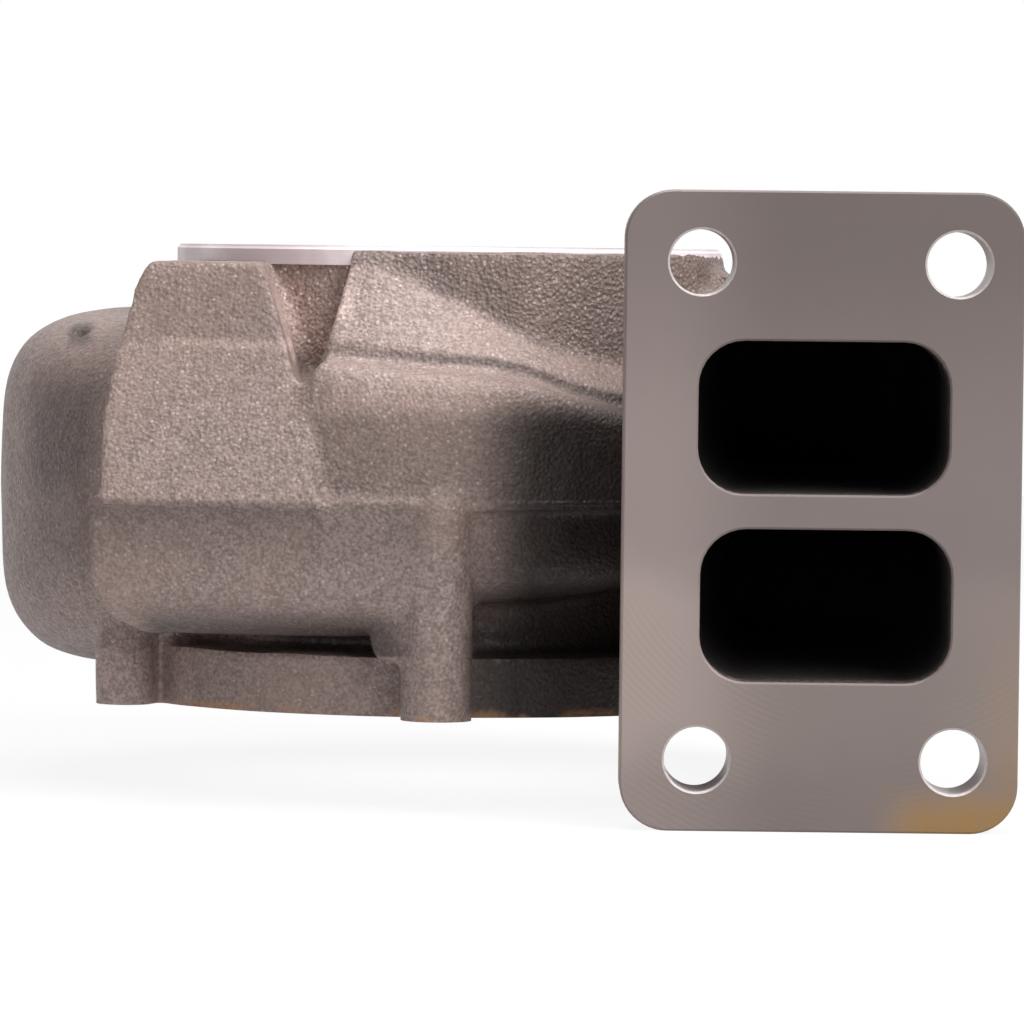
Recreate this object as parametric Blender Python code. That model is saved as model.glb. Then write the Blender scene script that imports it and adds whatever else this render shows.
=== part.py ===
"""Turbocharger turbine housing: a twin-entry scroll in cast iron, machined where it is joined.

The frame's origin is the middle of the bolt pattern on the inlet flange's face. Gas enters along +Y, turns
counter-clockwise seen from above, and leaves along +Z. The turbine axis is parallel to Z. The casting
is first joined from plain shapes and blended, as a foundry pattern is, then hollowed by its cores, and
then machined. Lengths are in millimetres, and are turned into metres where a mesh is made.
"""

import math

import bmesh
import bpy
import numpy as np

MM = 0.001

# Machined inlet flange
FLANGE_WIDTH = 67.4
FLANGE_SIDE_SHIFT = -1.0
FLANGE_HOLE_SPACING_Z = 84.1
FLANGE_HOLE_EDGE_Z = 12.15
FLANGE_HEIGHT = FLANGE_HOLE_SPACING_Z + 2 * FLANGE_HOLE_EDGE_Z
FLANGE_THICKNESS = 15.0
FLANGE_CORNER_RADIUS = 8.1
FLANGE_CHAMFER = 0.7
FLANGE_HOLE_DIAMETER = 11.0
FLANGE_HOLE_CHAMFER = 0.6
FLANGE_HOLE_SPACING_X = 43.4
FLANGE_BACK_OVERLAP = 1.5

# Rough metal inside the flange, before it is machined
FLANGE_ROUGH_INSET = 1.5
FLANGE_ROUGH_FRONT = 4.0
FLANGE_ROUGH_BACK_GAP = 0.5
FLANGE_ROUGH_CHAMFER = 1.0

# The two gas ports and the wall between them
PORT_WIDTH = 42.5
PORT_HEIGHT = 25.9
PORT_CORNER_RADIUS = 7.0
UPPER_PORT_SHIFT = -0.85
LOWER_PORT_SHIFT = -0.2
DIVIDER_THICKNESS = 5.9
NECK_WALL = 6.2
NECK_START = 2.0
NECK_STATIONS = 9

# Gas passages between port and scroll: share of the way to the turbine axis, and of the change in section
PASSAGE_STATIONS = ((0.2, 0.0), (0.4, 0.2), (0.6, 0.5), (0.8, 0.8))
PASSAGE_CORNER_SHARE = 0.48

# Place of the turbine axis, seen from the centre of the inlet flange
AXIS_SIDE_OFFSET = 65.3
AXIS_DEPTH = 100.0

# Machined outlet ring, at the top
OUTLET_HEIGHT = 44.0
OUTLET_RING_RADIUS = 50.0
OUTLET_RING_DEPTH = 3.4
OUTLET_RING_CHAMFER = 0.7
OUTLET_BORE_RADIUS = 42.0
OUTLET_NECK_RADIUS = 49.0

# Wheel bore
WHEEL_INLET_RADIUS = 38.5
WHEEL_OUTLET_RADIUS = 32.0
WHEEL_SHROUD_BASE = 8.0
WHEEL_SHROUD_HEIGHT = 10.0
WHEEL_BORE_LENGTH = 6.0
THROAT_RADIUS = 45.0
THROAT_WIDTH = 16.0
DIVIDER_LIP_THICKNESS = 4.2

# Machined bearing side, at the bottom
BEARING_DEPTH = 38.5
BEARING_FLANGE_RADIUS = 59.0
BEARING_FLANGE_THICKNESS = 11.0
BEARING_NECK_RADIUS = 50.0
BEARING_SEAT_RADIUS = 44.5
BEARING_SEAT_DEPTH = 9.0
BEARING_BORE_RADIUS = 40.5

# Bolt bosses around the bearing side
BOSS_COUNT = 6
BOSS_FIRST_ANGLE = 269.2
BOSS_CIRCLE_RADIUS = 64.5
BOSS_RADIUS = 6.6
BOSS_HEIGHT = 19.0
COLUMN_TOP = 1.8
TAPPED_HOLE_DIAMETER = 6.8
TAPPED_HOLE_DEPTH = 8.0

# Scroll, by angle round the turbine axis: outer radius, height above and depth below the parting line
SCROLL_SIZES = (
    (-20.0, 96.0, 40.0, 36.0),
    (0.0, 94.5, 39.5, 36.0),
    (60.0, 91.5, 35.0, 35.0),
    (120.0, 87.5, 32.4, 34.0),
    (180.0, 82.5, 32.2, 33.6),
    (204.0, 78.5, 30.0, 28.5),
    (222.0, 75.0, 26.5, 22.5),
    (250.0, 69.5, 20.0, 20.0),
    (285.0, 66.5, 17.5, 19.0),
    (322.0, 62.0, 14.0, 16.0),
)
SCROLL_INNER_RADIUS = 8.0
SCROLL_WALL = 5.5
SCROLL_FLOOR_WALL = 8.5
SCROLL_SQUARENESS = 4.0
SCROLL_CORE_INNER_RADIUS = 52.0
SCROLL_CORE_END = 312.0

# Front shoulder, by angle: height of its crease, and radius and height of its ridge
SHOULDER_SIZES = (
    (236.0, 17.0, 60.0, 17.5),
    (246.0, 17.5, 60.0, 18.0),
    (248.5, 21.5, 60.0, 22.5),
    (250.5, 25.6, 49.0, 40.8),
    (257.0, 25.0, 49.0, 40.4),
    (269.0, 24.2, 51.5, 36.2),
    (278.0, 23.1, 53.5, 32.1),
    (284.0, 22.0, 55.5, 29.2),
    (297.0, 17.6, 56.5, 25.0),
    (314.0, 13.0, 57.0, 19.0),
)
SHOULDER_WALL_RADIUS = 70.0
SHOULDER_CREASE_RADIUS = 65.0
SHOULDER_INNER_RADIUS = 40.0
SHOULDER_WALL_DROP = 11.0
SHOULDER_ROLL_DROP = 4.0
SHOULDER_ROLL_INSET = 2.0
SHOULDER_BASE = -2.0

# Rough pad beside the outlet ring, by angle: its radius
PAD_SIZES = ((256.0, 49.0), (269.0, 51.8), (278.0, 54.0), (284.0, 56.0), (322.0, 57.5))
PAD_BASE = 5.0
PAD_TOP_GAP = 0.8

# Flat gusset at the front left, as corners round the turbine axis
GUSSET_CORNERS = (
    (-61.8, -64.0, -2.0),
    (-21.0, -71.5, -2.0),
    (-57.6, -53.4, 27.7),
    (-27.2, -60.8, 27.7),
    (-55.6, -50.4, 41.3),
    (-32.0, -57.6, 41.3),
    (-45.0, -20.0, -2.0),
    (-15.0, -40.0, -2.0),
    (-45.0, -15.0, 41.3),
    (-25.0, -36.0, 41.3),
)

# Lower front wall, seen from above, and how far it draws in at each depth
LOWER_WALL_OUTLINE = (
    (-63.0, -61.8),
    (-45.0, -65.6),
    (-21.0, -70.8),
    (-2.0, -70.6),
    (-2.0, -40.0),
    (-40.0, -25.0),
    (-58.0, -35.0),
)
LOWER_WALL_STEPS = ((0.0, 0.0), (15.0, 1.0), (21.0, 4.6), (26.0, 12.5))

# Foundry and machining allowances
MACHINING_STOCK = 3.0
BLEND_VOXEL = 1.6
BLEND_PASSES = 5
BLEND_FACE_SHARE = 0.055
CUT_CLEARANCE = 5.0
THROAT_OVERLAP = 3.0
THROAT_FLARE = 1.0

# Steps round each kind of curve
SECTION_STEPS = 32
SCROLL_STEP_DEGREES = 12.0
TURNED_STEPS = 60
HOLE_STEPS = 24
CORNER_STEPS = 5

IRON_COLOUR = (0.21, 0.165, 0.15, 1.0)
IRON_ROUGHNESS = 0.62
IRON_METALLIC = 0.55


def clear_scene():
    """Remove every object, so that the script always starts from nothing."""
    for item in list(bpy.data.objects):
        bpy.data.objects.remove(item)


def from_axis(x, y, z):
    """Turn millimetres seen from the turbine axis into metres in the part's frame."""
    return ((x - AXIS_SIDE_OFFSET) * MM, (y + AXIS_DEPTH) * MM, z * MM)


def from_flange(x, y, z):
    """Turn millimetres seen from the flange face's centre into metres in the part's frame."""
    return (x * MM, y * MM, z * MM)


def polar(radius, degrees):
    """Give the x and y of a point at this radius and angle."""
    angle = math.radians(degrees)
    return radius * math.cos(angle), radius * math.sin(angle)


def make_object(name, mesh):
    """Put a mesh into the scene under this name."""
    item = bpy.data.objects.new(name, mesh)
    bpy.context.scene.collection.objects.link(item)
    return item


def finish_mesh(name, shape):
    """Point a bmesh's faces outwards and turn it into a mesh."""
    bmesh.ops.recalc_face_normals(shape, faces=shape.faces)
    mesh = bpy.data.meshes.new(name)
    shape.to_mesh(mesh)
    shape.free()
    return mesh


def loft(name, rings):
    """Skin a row of closed rings of equal length, and cap both ends."""
    shape = bmesh.new()
    rows = [[shape.verts.new(point) for point in ring] for ring in rings]
    for near, far in zip(rows, rows[1:]):
        for index in range(len(near)):
            following = (index + 1) % len(near)
            shape.faces.new((near[index], near[following], far[following], far[index]))
    shape.faces.new(rows[0])
    shape.faces.new(rows[-1])
    return finish_mesh(name, shape)


def hull(name, points):
    """Wrap points in their convex hull."""
    shape = bmesh.new()
    for point in points:
        shape.verts.new(point)
    wrapped = bmesh.ops.convex_hull(shape, input=shape.verts)
    loose = [item for item in wrapped["geom_interior"] if isinstance(item, bmesh.types.BMVert)]
    bmesh.ops.delete(shape, geom=loose, context="VERTS")
    return finish_mesh(name, shape)


def turned(name, profile, steps):
    """Turn a closed profile of radius and height about the turbine axis."""
    shape = bmesh.new()
    rows = []
    for step in range(steps):
        angle = 360.0 * step / steps
        row = []
        for radius, height in profile:
            x, y = polar(radius, angle)
            row.append(shape.verts.new(from_axis(x, y, height)))
        rows.append(row)
    for step, near in enumerate(rows):
        far = rows[(step + 1) % steps]
        for index in range(len(profile)):
            following = (index + 1) % len(profile)
            shape.faces.new((near[index], near[following], far[following], far[index]))
    bmesh.ops.remove_doubles(shape, verts=shape.verts, dist=0.001 * MM)
    return finish_mesh(name, shape)


def prism(name, outline, low, high):
    """Raise an outline of points seen from the turbine axis between two heights."""
    rings = [[from_axis(x, y, height) for x, y in outline] for height in (low, high)]
    return loft(name, rings)


def smooth_value(at, places, values):
    """Read a smooth curve through a few values, with a slope worked out at each place."""
    slopes = np.gradient(values, places)
    index = int(np.clip(np.searchsorted(places, at) - 1, 0, len(places) - 2))
    span = places[index + 1] - places[index]
    t = (at - places[index]) / span
    start = (1 + 2 * t) * (1 - t) ** 2 * values[index] + t * (1 - t) ** 2 * span * slopes[index]
    end = t * t * (3 - 2 * t) * values[index + 1] + t * t * (t - 1) * span * slopes[index + 1]
    return start + end


def scroll_size(degrees):
    """Give the scroll's outer radius, height above and depth below the parting line."""
    table = np.array(SCROLL_SIZES)
    return [smooth_value(degrees, table[:, 0], table[:, column]) for column in (1, 2, 3)]


def squircle(half_width, top, bottom, squareness):
    """Give a rounded section: a superellipse with its own height above and below."""
    points = []
    for step in range(SECTION_STEPS):
        angle = 2 * math.pi * step / SECTION_STEPS
        side = math.copysign(abs(math.cos(angle)) ** (2 / squareness), math.cos(angle))
        rise = math.copysign(abs(math.sin(angle)) ** (2 / squareness), math.sin(angle))
        points.append((half_width * side, rise * (top if rise > 0 else bottom)))
    return points


def scroll_angles(first, last):
    """Give evenly spaced angles from first to last."""
    count = max(2, round((last - first) / SCROLL_STEP_DEGREES))
    return [first + (last - first) * step / count for step in range(count + 1)]


def scroll_blank():
    """Sweep the scroll's outside round the turbine axis."""
    rings = []
    for degrees in scroll_angles(SCROLL_SIZES[0][0], SCROLL_SIZES[-1][0]):
        outer, top, bottom = scroll_size(degrees)
        middle = (outer + SCROLL_INNER_RADIUS) / 2
        half = (outer - SCROLL_INNER_RADIUS) / 2
        ring = []
        for across, height in squircle(half, top, bottom, SCROLL_SQUARENESS):
            x, y = polar(middle + across, degrees)
            ring.append(from_axis(x, y, height))
        rings.append(ring)
    return loft("scroll_blank", rings)


def neck_blank():
    """Loft the outside of the inlet neck from the flange to the scroll's first section."""
    outer, top, bottom = scroll_size(0.0)
    half = PORT_WIDTH / 2 + NECK_WALL
    height = PORT_HEIGHT + DIVIDER_THICKNESS / 2 + NECK_WALL
    rings = []
    for share in np.linspace(0.0, 1.0, NECK_STATIONS):
        y = NECK_START + (AXIS_DEPTH - NECK_START) * share
        ease = share * share * (3 - 2 * share)
        right = half + (outer - AXIS_SIDE_OFFSET - half) * ease
        section = squircle((right + half) / 2, height + (top - height) * ease,
                           height + (bottom - height) * ease, SCROLL_SQUARENESS)
        rings.append([from_flange(x + (right - half) / 2, y, z) for x, z in section])
    return loft("neck_blank", rings)


def rounded_outline(width, height, radius):
    """Give a rounded rectangle's points, with its corners as arcs."""
    points = []
    for quarter, (side, rise) in enumerate(((1, 1), (-1, 1), (-1, -1), (1, -1))):
        for step in range(CORNER_STEPS + 1):
            angle = math.radians(90.0 * (quarter + step / CORNER_STEPS))
            x = side * (width / 2 - radius) + radius * math.cos(angle)
            z = rise * (height / 2 - radius) + radius * math.sin(angle)
            points.append((x, z))
    return points


def flange_block(name, inset, front, back, chamfer):
    """Raise the flange's outline from its front to its back, with chamfered edges."""
    rings = []
    steps = ((front, chamfer), (front + chamfer, 0.0), (back - chamfer, 0.0), (back, chamfer))
    for y, cut in steps:
        shrink = inset + cut
        outline = rounded_outline(
            FLANGE_WIDTH - 2 * shrink, FLANGE_HEIGHT - 2 * shrink, FLANGE_CORNER_RADIUS - cut
        )
        rings.append([from_flange(x + FLANGE_SIDE_SHIFT, y, z) for x, z in outline])
    return loft(name, rings)


def shoulder_blank():
    """Sweep the front shoulder: a wall, a rolled edge, a crease, and a facet up to its ridge."""
    rings = []
    for degrees, crease, ridge_radius, ridge in SHOULDER_SIZES:
        section = (
            (SHOULDER_INNER_RADIUS, SHOULDER_BASE),
            (SHOULDER_WALL_RADIUS, SHOULDER_BASE),
            (SHOULDER_WALL_RADIUS, crease - SHOULDER_WALL_DROP),
            (SHOULDER_WALL_RADIUS - SHOULDER_ROLL_INSET, crease - SHOULDER_ROLL_DROP),
            (SHOULDER_CREASE_RADIUS, crease),
            (ridge_radius, ridge),
            (SHOULDER_INNER_RADIUS, ridge),
        )
        rings.append([from_axis(*polar(radius, degrees), height) for radius, height in section])
    return loft("shoulder_blank", rings)


def pad_blank():
    """Raise the rough pad that fills the space between the outlet ring and the inlet neck."""
    outline = [(0.0, 0.0)]
    outline += [polar(radius, degrees) for degrees, radius in PAD_SIZES]
    return prism("pad_blank", outline, PAD_BASE, OUTLET_HEIGHT - PAD_TOP_GAP)


def gusset_blank():
    """Wrap the flat gusset's corners."""
    return hull("gusset_blank", [from_axis(*corner) for corner in GUSSET_CORNERS])


def lower_wall_blank():
    """Loft the lower front wall, which draws in and rounds under below the parting line."""
    rings = []
    for depth, inset in LOWER_WALL_STEPS:
        ring = []
        for x, y in LOWER_WALL_OUTLINE:
            share = 1 - inset / math.hypot(x, y)
            ring.append(from_axis(x * share, y * share, -depth))
        rings.append(ring)
    return loft("lower_wall_blank", rings)


def upright(name, x, y, radius, low, high, steps):
    """Raise a cylinder at x and y, seen from the turbine axis."""
    circle = [polar(radius, 360.0 * step / steps) for step in range(steps)]
    return prism(name, [(x + dx, y + dy) for dx, dy in circle], low, high)


def boss_places():
    """Give the centre of each bolt boss, seen from the turbine axis."""
    angles = [BOSS_FIRST_ANGLE - 360.0 * index / BOSS_COUNT for index in range(BOSS_COUNT)]
    return [polar(BOSS_CIRCLE_RADIUS, angle) for angle in angles]


def boss_blanks():
    """Raise the bolt bosses: the first is the tall column at the front."""
    meshes = []
    for index, (x, y) in enumerate(boss_places()):
        top = COLUMN_TOP if index == 0 else BOSS_HEIGHT - BEARING_DEPTH
        mesh = upright(
            f"boss_blank_{index}", x, y, BOSS_RADIUS, -BEARING_DEPTH - MACHINING_STOCK, top, HOLE_STEPS
        )
        meshes.append(mesh)
    return meshes


def round_blanks():
    """Raise the plain round parts of the casting: outlet neck, bearing neck and bearing flange."""
    bottom = -BEARING_DEPTH - MACHINING_STOCK
    flange_top = BEARING_FLANGE_THICKNESS - BEARING_DEPTH
    return [
        upright("outlet_neck_blank", 0, 0, OUTLET_NECK_RADIUS, 0,
                OUTLET_HEIGHT + MACHINING_STOCK, TURNED_STEPS),
        upright("bearing_neck_blank", 0, 0, BEARING_NECK_RADIUS, bottom, 0, TURNED_STEPS),
        upright("bearing_flange_blank", 0, 0, BEARING_FLANGE_RADIUS, bottom, flange_top, TURNED_STEPS),
    ]


def casting_blank():
    """Join the shapes of the pattern into one mesh of overlapping closed shells."""
    shape = bmesh.new()
    meshes = [scroll_blank(), neck_blank(), shoulder_blank(), pad_blank(), gusset_blank()]
    meshes += [lower_wall_blank()]
    meshes += boss_blanks() + round_blanks()
    rough_back = FLANGE_THICKNESS - FLANGE_ROUGH_BACK_GAP
    meshes.append(flange_block("flange_blank", FLANGE_ROUGH_INSET, FLANGE_ROUGH_FRONT, rough_back,
                               FLANGE_ROUGH_CHAMFER))
    for mesh in meshes:
        shape.from_mesh(mesh)
    joined = bpy.data.meshes.new("turbine_housing")
    shape.to_mesh(joined)
    shape.free()
    return joined


def core_section(width, low, high, radius):
    """Give a rounded rectangle's points about the middle of its width, between two heights."""
    outline = rounded_outline(width, high - low, radius)
    return [(x, z + (low + high) / 2) for x, z in outline]


def passage_height(heights, side):
    """Say how far one gas passage reaches from the parting line: side is 1 above, -1 below.

    The floor is thicker than the other walls, because the tapped holes stop in it.
    """
    return heights[0] - SCROLL_WALL if side > 0 else heights[1] - SCROLL_FLOOR_WALL


def scroll_core(side):
    """Loft one gas passage, from its port to the scroll's end: side is 1 above, -1 below."""
    near = DIVIDER_THICKNESS / 2
    rings = []
    shift = UPPER_PORT_SHIFT if side > 0 else LOWER_PORT_SHIFT
    outer, *heights = scroll_size(0.0)
    first_low = near
    first_high = passage_height(heights, side)
    first_right = outer - SCROLL_WALL - AXIS_SIDE_OFFSET
    first_left = SCROLL_CORE_INNER_RADIUS - AXIS_SIDE_OFFSET
    stations = [(-CUT_CLEARANCE, 0.0)]
    stations += [(way * AXIS_DEPTH, share) for way, share in PASSAGE_STATIONS]
    for y, share in stations:
        left = -PORT_WIDTH / 2 + (first_left + PORT_WIDTH / 2) * share
        right = PORT_WIDTH / 2 + (first_right - PORT_WIDTH / 2) * share
        high = near + PORT_HEIGHT + (first_high - near - PORT_HEIGHT) * share
        section = core_section(right - left, first_low, high, PORT_CORNER_RADIUS)
        middle = (left + right) / 2 + shift * (1 - share)
        rings.append([from_flange(x + middle, y, side * z) for x, z in section])
    for degrees in scroll_angles(0.0, SCROLL_CORE_END):
        outer, *heights = scroll_size(degrees)
        high = max(passage_height(heights, side), THROAT_WIDTH / 2)
        right = outer - SCROLL_WALL
        width = right - SCROLL_CORE_INNER_RADIUS
        radius = min(PORT_CORNER_RADIUS, PASSAGE_CORNER_SHARE * min(width, high - near))
        section = core_section(width, near, high, radius)
        middle = (right + SCROLL_CORE_INNER_RADIUS) / 2
        rings.append([from_axis(*polar(x + middle, degrees), side * z) for x, z in section])
    return loft("scroll_core", rings)


def throat_core(side):
    """Turn the slot that joins one gas passage to the wheel's space."""
    lip = DIVIDER_LIP_THICKNESS / 2
    slope = (DIVIDER_THICKNESS / 2 - lip) / (SCROLL_CORE_INNER_RADIUS - THROAT_RADIUS)
    inner = THROAT_RADIUS - THROAT_OVERLAP
    reach = SCROLL_CORE_INNER_RADIUS + THROAT_OVERLAP
    far = THROAT_WIDTH / 2
    profile = [
        (inner, side * (lip - slope * THROAT_OVERLAP)),
        (reach, side * (lip + slope * (reach - THROAT_RADIUS))),
        (reach, side * (far + THROAT_FLARE)),
        (inner, side * far),
    ]
    return turned("throat_core", profile, TURNED_STEPS)


def bore_tool():
    """Turn the tool that bores the wheel's space, the shroud, the outlet and the bearing seat."""
    bottom = -BEARING_DEPTH
    shroud_top = WHEEL_SHROUD_BASE + WHEEL_SHROUD_HEIGHT
    profile = [
        (0.0, bottom - CUT_CLEARANCE),
        (BEARING_SEAT_RADIUS, bottom - CUT_CLEARANCE),
        (BEARING_SEAT_RADIUS, bottom + BEARING_SEAT_DEPTH),
        (BEARING_BORE_RADIUS, bottom + BEARING_SEAT_DEPTH),
        (BEARING_BORE_RADIUS, -THROAT_WIDTH / 2),
        (THROAT_RADIUS, -THROAT_WIDTH / 2),
        (THROAT_RADIUS, WHEEL_SHROUD_BASE),
    ]
    for step in range(CORNER_STEPS + 1):
        angle = math.radians(90.0 * step / CORNER_STEPS)
        radius = WHEEL_OUTLET_RADIUS + (WHEEL_INLET_RADIUS - WHEEL_OUTLET_RADIUS) * (1 - math.sin(angle))
        height = shroud_top - WHEEL_SHROUD_HEIGHT * math.cos(angle)
        profile.append((radius, height))
    profile += [
        (WHEEL_OUTLET_RADIUS, shroud_top + WHEEL_BORE_LENGTH),
        (OUTLET_BORE_RADIUS, OUTLET_HEIGHT),
        (OUTLET_BORE_RADIUS, OUTLET_HEIGHT + CUT_CLEARANCE),
        (0.0, OUTLET_HEIGHT + CUT_CLEARANCE),
    ]
    return turned("bore_tool", profile, TURNED_STEPS)


def outlet_ring():
    """Turn the solid of the outlet ring, whose chamfer runs on into the metal that is planed off."""
    base = OUTLET_HEIGHT - OUTLET_RING_DEPTH
    profile = [
        (0.0, base),
        (OUTLET_RING_RADIUS, base),
        (OUTLET_RING_RADIUS, OUTLET_HEIGHT - OUTLET_RING_CHAMFER),
        (OUTLET_RING_RADIUS - OUTLET_RING_CHAMFER - MACHINING_STOCK, OUTLET_HEIGHT + MACHINING_STOCK),
        (0.0, OUTLET_HEIGHT + MACHINING_STOCK),
    ]
    return turned("outlet_ring", profile, TURNED_STEPS)


def outlet_facing_tool():
    """Raise the disc that planes the outlet ring and the pad beside it."""
    high = OUTLET_HEIGHT + MACHINING_STOCK + CUT_CLEARANCE
    radius = max(size[1] for size in PAD_SIZES) + CUT_CLEARANCE
    return upright("outlet_facing_tool", 0, 0, radius, OUTLET_HEIGHT, high, TURNED_STEPS)


def bearing_facing_tool():
    """Raise the disc that planes the bearing side and its bosses."""
    low = -BEARING_DEPTH - MACHINING_STOCK - CUT_CLEARANCE
    radius = BOSS_CIRCLE_RADIUS + BOSS_RADIUS + CUT_CLEARANCE
    return upright("bearing_facing_tool", 0, 0, radius, low, -BEARING_DEPTH, TURNED_STEPS)


def flange_hole_tool(x, z):
    """Turn a drill with a small countersink at the flange's face, at x and z."""
    radius = FLANGE_HOLE_DIAMETER / 2
    sizes = (
        (-CUT_CLEARANCE, radius + FLANGE_HOLE_CHAMFER + CUT_CLEARANCE),
        (FLANGE_HOLE_CHAMFER, radius),
        (FLANGE_THICKNESS + 2 * CUT_CLEARANCE, radius),
    )
    rings = []
    for y, ring_radius in sizes:
        circle = [polar(ring_radius, 360.0 * step / HOLE_STEPS) for step in range(HOLE_STEPS)]
        rings.append([from_flange(x + dx, y, z + dz) for dx, dz in circle])
    return loft("flange_hole_tool", rings)


def tapped_hole_tool(x, y):
    """Raise the drill for a bolt boss, at x and y seen from the turbine axis."""
    bottom = -BEARING_DEPTH
    return upright("tapped_hole_tool", x, y, TAPPED_HOLE_DIAMETER / 2, bottom - CUT_CLEARANCE,
                   bottom + TAPPED_HOLE_DEPTH, HOLE_STEPS)


def apply_group(item, name, meshes, operation):
    """Join or cut an object with several meshes at once, kept as guides that aren't part of it."""
    group = bpy.data.collections.new(name)
    bpy.context.scene.collection.children.link(group)
    for mesh in meshes:
        guide = bpy.data.objects.new(mesh.name, mesh)
        guide.hide_render = True
        guide.display_type = "WIRE"
        group.objects.link(guide)
    modifier = item.modifiers.new(name, "BOOLEAN")
    modifier.operation = operation
    modifier.solver = "EXACT"
    modifier.operand_type = "COLLECTION"
    modifier.collection = group


def blend_casting(item):
    """Fuse the overlapping shells, round their edges and corners, and thin out the faces."""
    fuse = item.modifiers.new("fuse", "REMESH")
    fuse.mode = "VOXEL"
    fuse.voxel_size = BLEND_VOXEL * MM
    blend = item.modifiers.new("blend", "SMOOTH")
    blend.factor = 0.5
    blend.iterations = BLEND_PASSES
    thin = item.modifiers.new("thin", "DECIMATE")
    thin.ratio = BLEND_FACE_SHARE


def flange_hole_tools():
    """Make the drills for the flange's four holes."""
    tools = []
    for side in (-1, 1):
        for rise in (-1, 1):
            x = side * FLANGE_HOLE_SPACING_X / 2
            z = rise * FLANGE_HOLE_SPACING_Z / 2
            tools.append(flange_hole_tool(x, z))
    return tools


def machine_casting(item):
    """Add the crisp solids that machining leaves, and take away what cores and tools remove."""
    back = FLANGE_THICKNESS - FLANGE_BACK_OVERLAP
    crisp = [flange_block("flange_solid", 0.0, 0.0, back, FLANGE_CHAMFER), outlet_ring()]
    apply_group(item, "crisp_solids", crisp, "UNION")
    tools = [scroll_core(1), scroll_core(-1), throat_core(1), throat_core(-1), bore_tool()]
    tools += [outlet_facing_tool(), bearing_facing_tool()]
    tools += flange_hole_tools()
    tools += [tapped_hole_tool(x, y) for x, y in boss_places()]
    apply_group(item, "cores_and_tools", tools, "DIFFERENCE")


def cast_iron():
    """Make the casting's material."""
    material = bpy.data.materials.new("cast_iron")
    material.use_nodes = True
    shader = material.node_tree.nodes["Principled BSDF"]
    shader.inputs["Base Color"].default_value = IRON_COLOUR
    shader.inputs["Roughness"].default_value = IRON_ROUGHNESS
    shader.inputs["Metallic"].default_value = IRON_METALLIC
    return material


def main():
    """Build the housing."""
    clear_scene()
    housing = make_object("turbine_housing", casting_blank())
    housing.data.materials.append(cast_iron())
    blend_casting(housing)
    machine_casting(housing)


main()
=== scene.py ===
"""Turbocharger turbine housing, dressed from its frame: one sand-cast iron body, machined at its joints.

The body is made in the order of a foundry. Numpy surfaces give the forms of the pattern, a voxel
remesh runs them together with soft corners, cores and tools are then cut out of it, and each surface
keeps the finish of what made it. Lengths are in millimetres until a mesh or a material is made.
"""

import logging
import math
from dataclasses import dataclass, field
from enum import Enum

import bmesh
import bpy
import numpy as np
from mathutils import Matrix, Vector


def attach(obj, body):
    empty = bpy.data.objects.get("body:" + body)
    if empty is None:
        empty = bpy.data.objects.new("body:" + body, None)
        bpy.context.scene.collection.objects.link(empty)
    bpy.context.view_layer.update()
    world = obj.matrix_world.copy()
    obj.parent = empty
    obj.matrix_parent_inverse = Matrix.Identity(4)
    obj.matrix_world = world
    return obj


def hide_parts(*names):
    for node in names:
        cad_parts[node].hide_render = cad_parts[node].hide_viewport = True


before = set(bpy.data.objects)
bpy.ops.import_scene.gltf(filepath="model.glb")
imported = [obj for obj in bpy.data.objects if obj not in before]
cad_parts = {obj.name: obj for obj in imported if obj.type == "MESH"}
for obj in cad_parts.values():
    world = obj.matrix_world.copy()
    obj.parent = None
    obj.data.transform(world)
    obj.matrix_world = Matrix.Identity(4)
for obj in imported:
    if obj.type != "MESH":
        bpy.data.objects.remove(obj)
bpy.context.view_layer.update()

MM = 0.001
LOG = logging.getLogger("turbine_housing")

Socket = bpy.types.NodeSocket
Colour = tuple[float, float, float, float]
Range = tuple[float, float]
# An axis, and where along it, in millimetres, a patch begins and is full
Step = tuple[str, float, float]
# Patches a metre, how many finer layers are added and, where it isn't 0.5, how strong they are
Noise = tuple[float, ...]


class Finish(Enum):
    """The finishes of the housing, by the name of their material."""

    CAST = "sand_cast_skin"
    MILLED = "milled_face"
    TURNED = "turned_face"
    DRILLED = "drilled_wall"
    CORE = "core_skin"


class Joining(Enum):
    """What a Boolean does with its tool."""

    ADD = "UNION"
    CUT = "DIFFERENCE"


# Wiring materials


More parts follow.
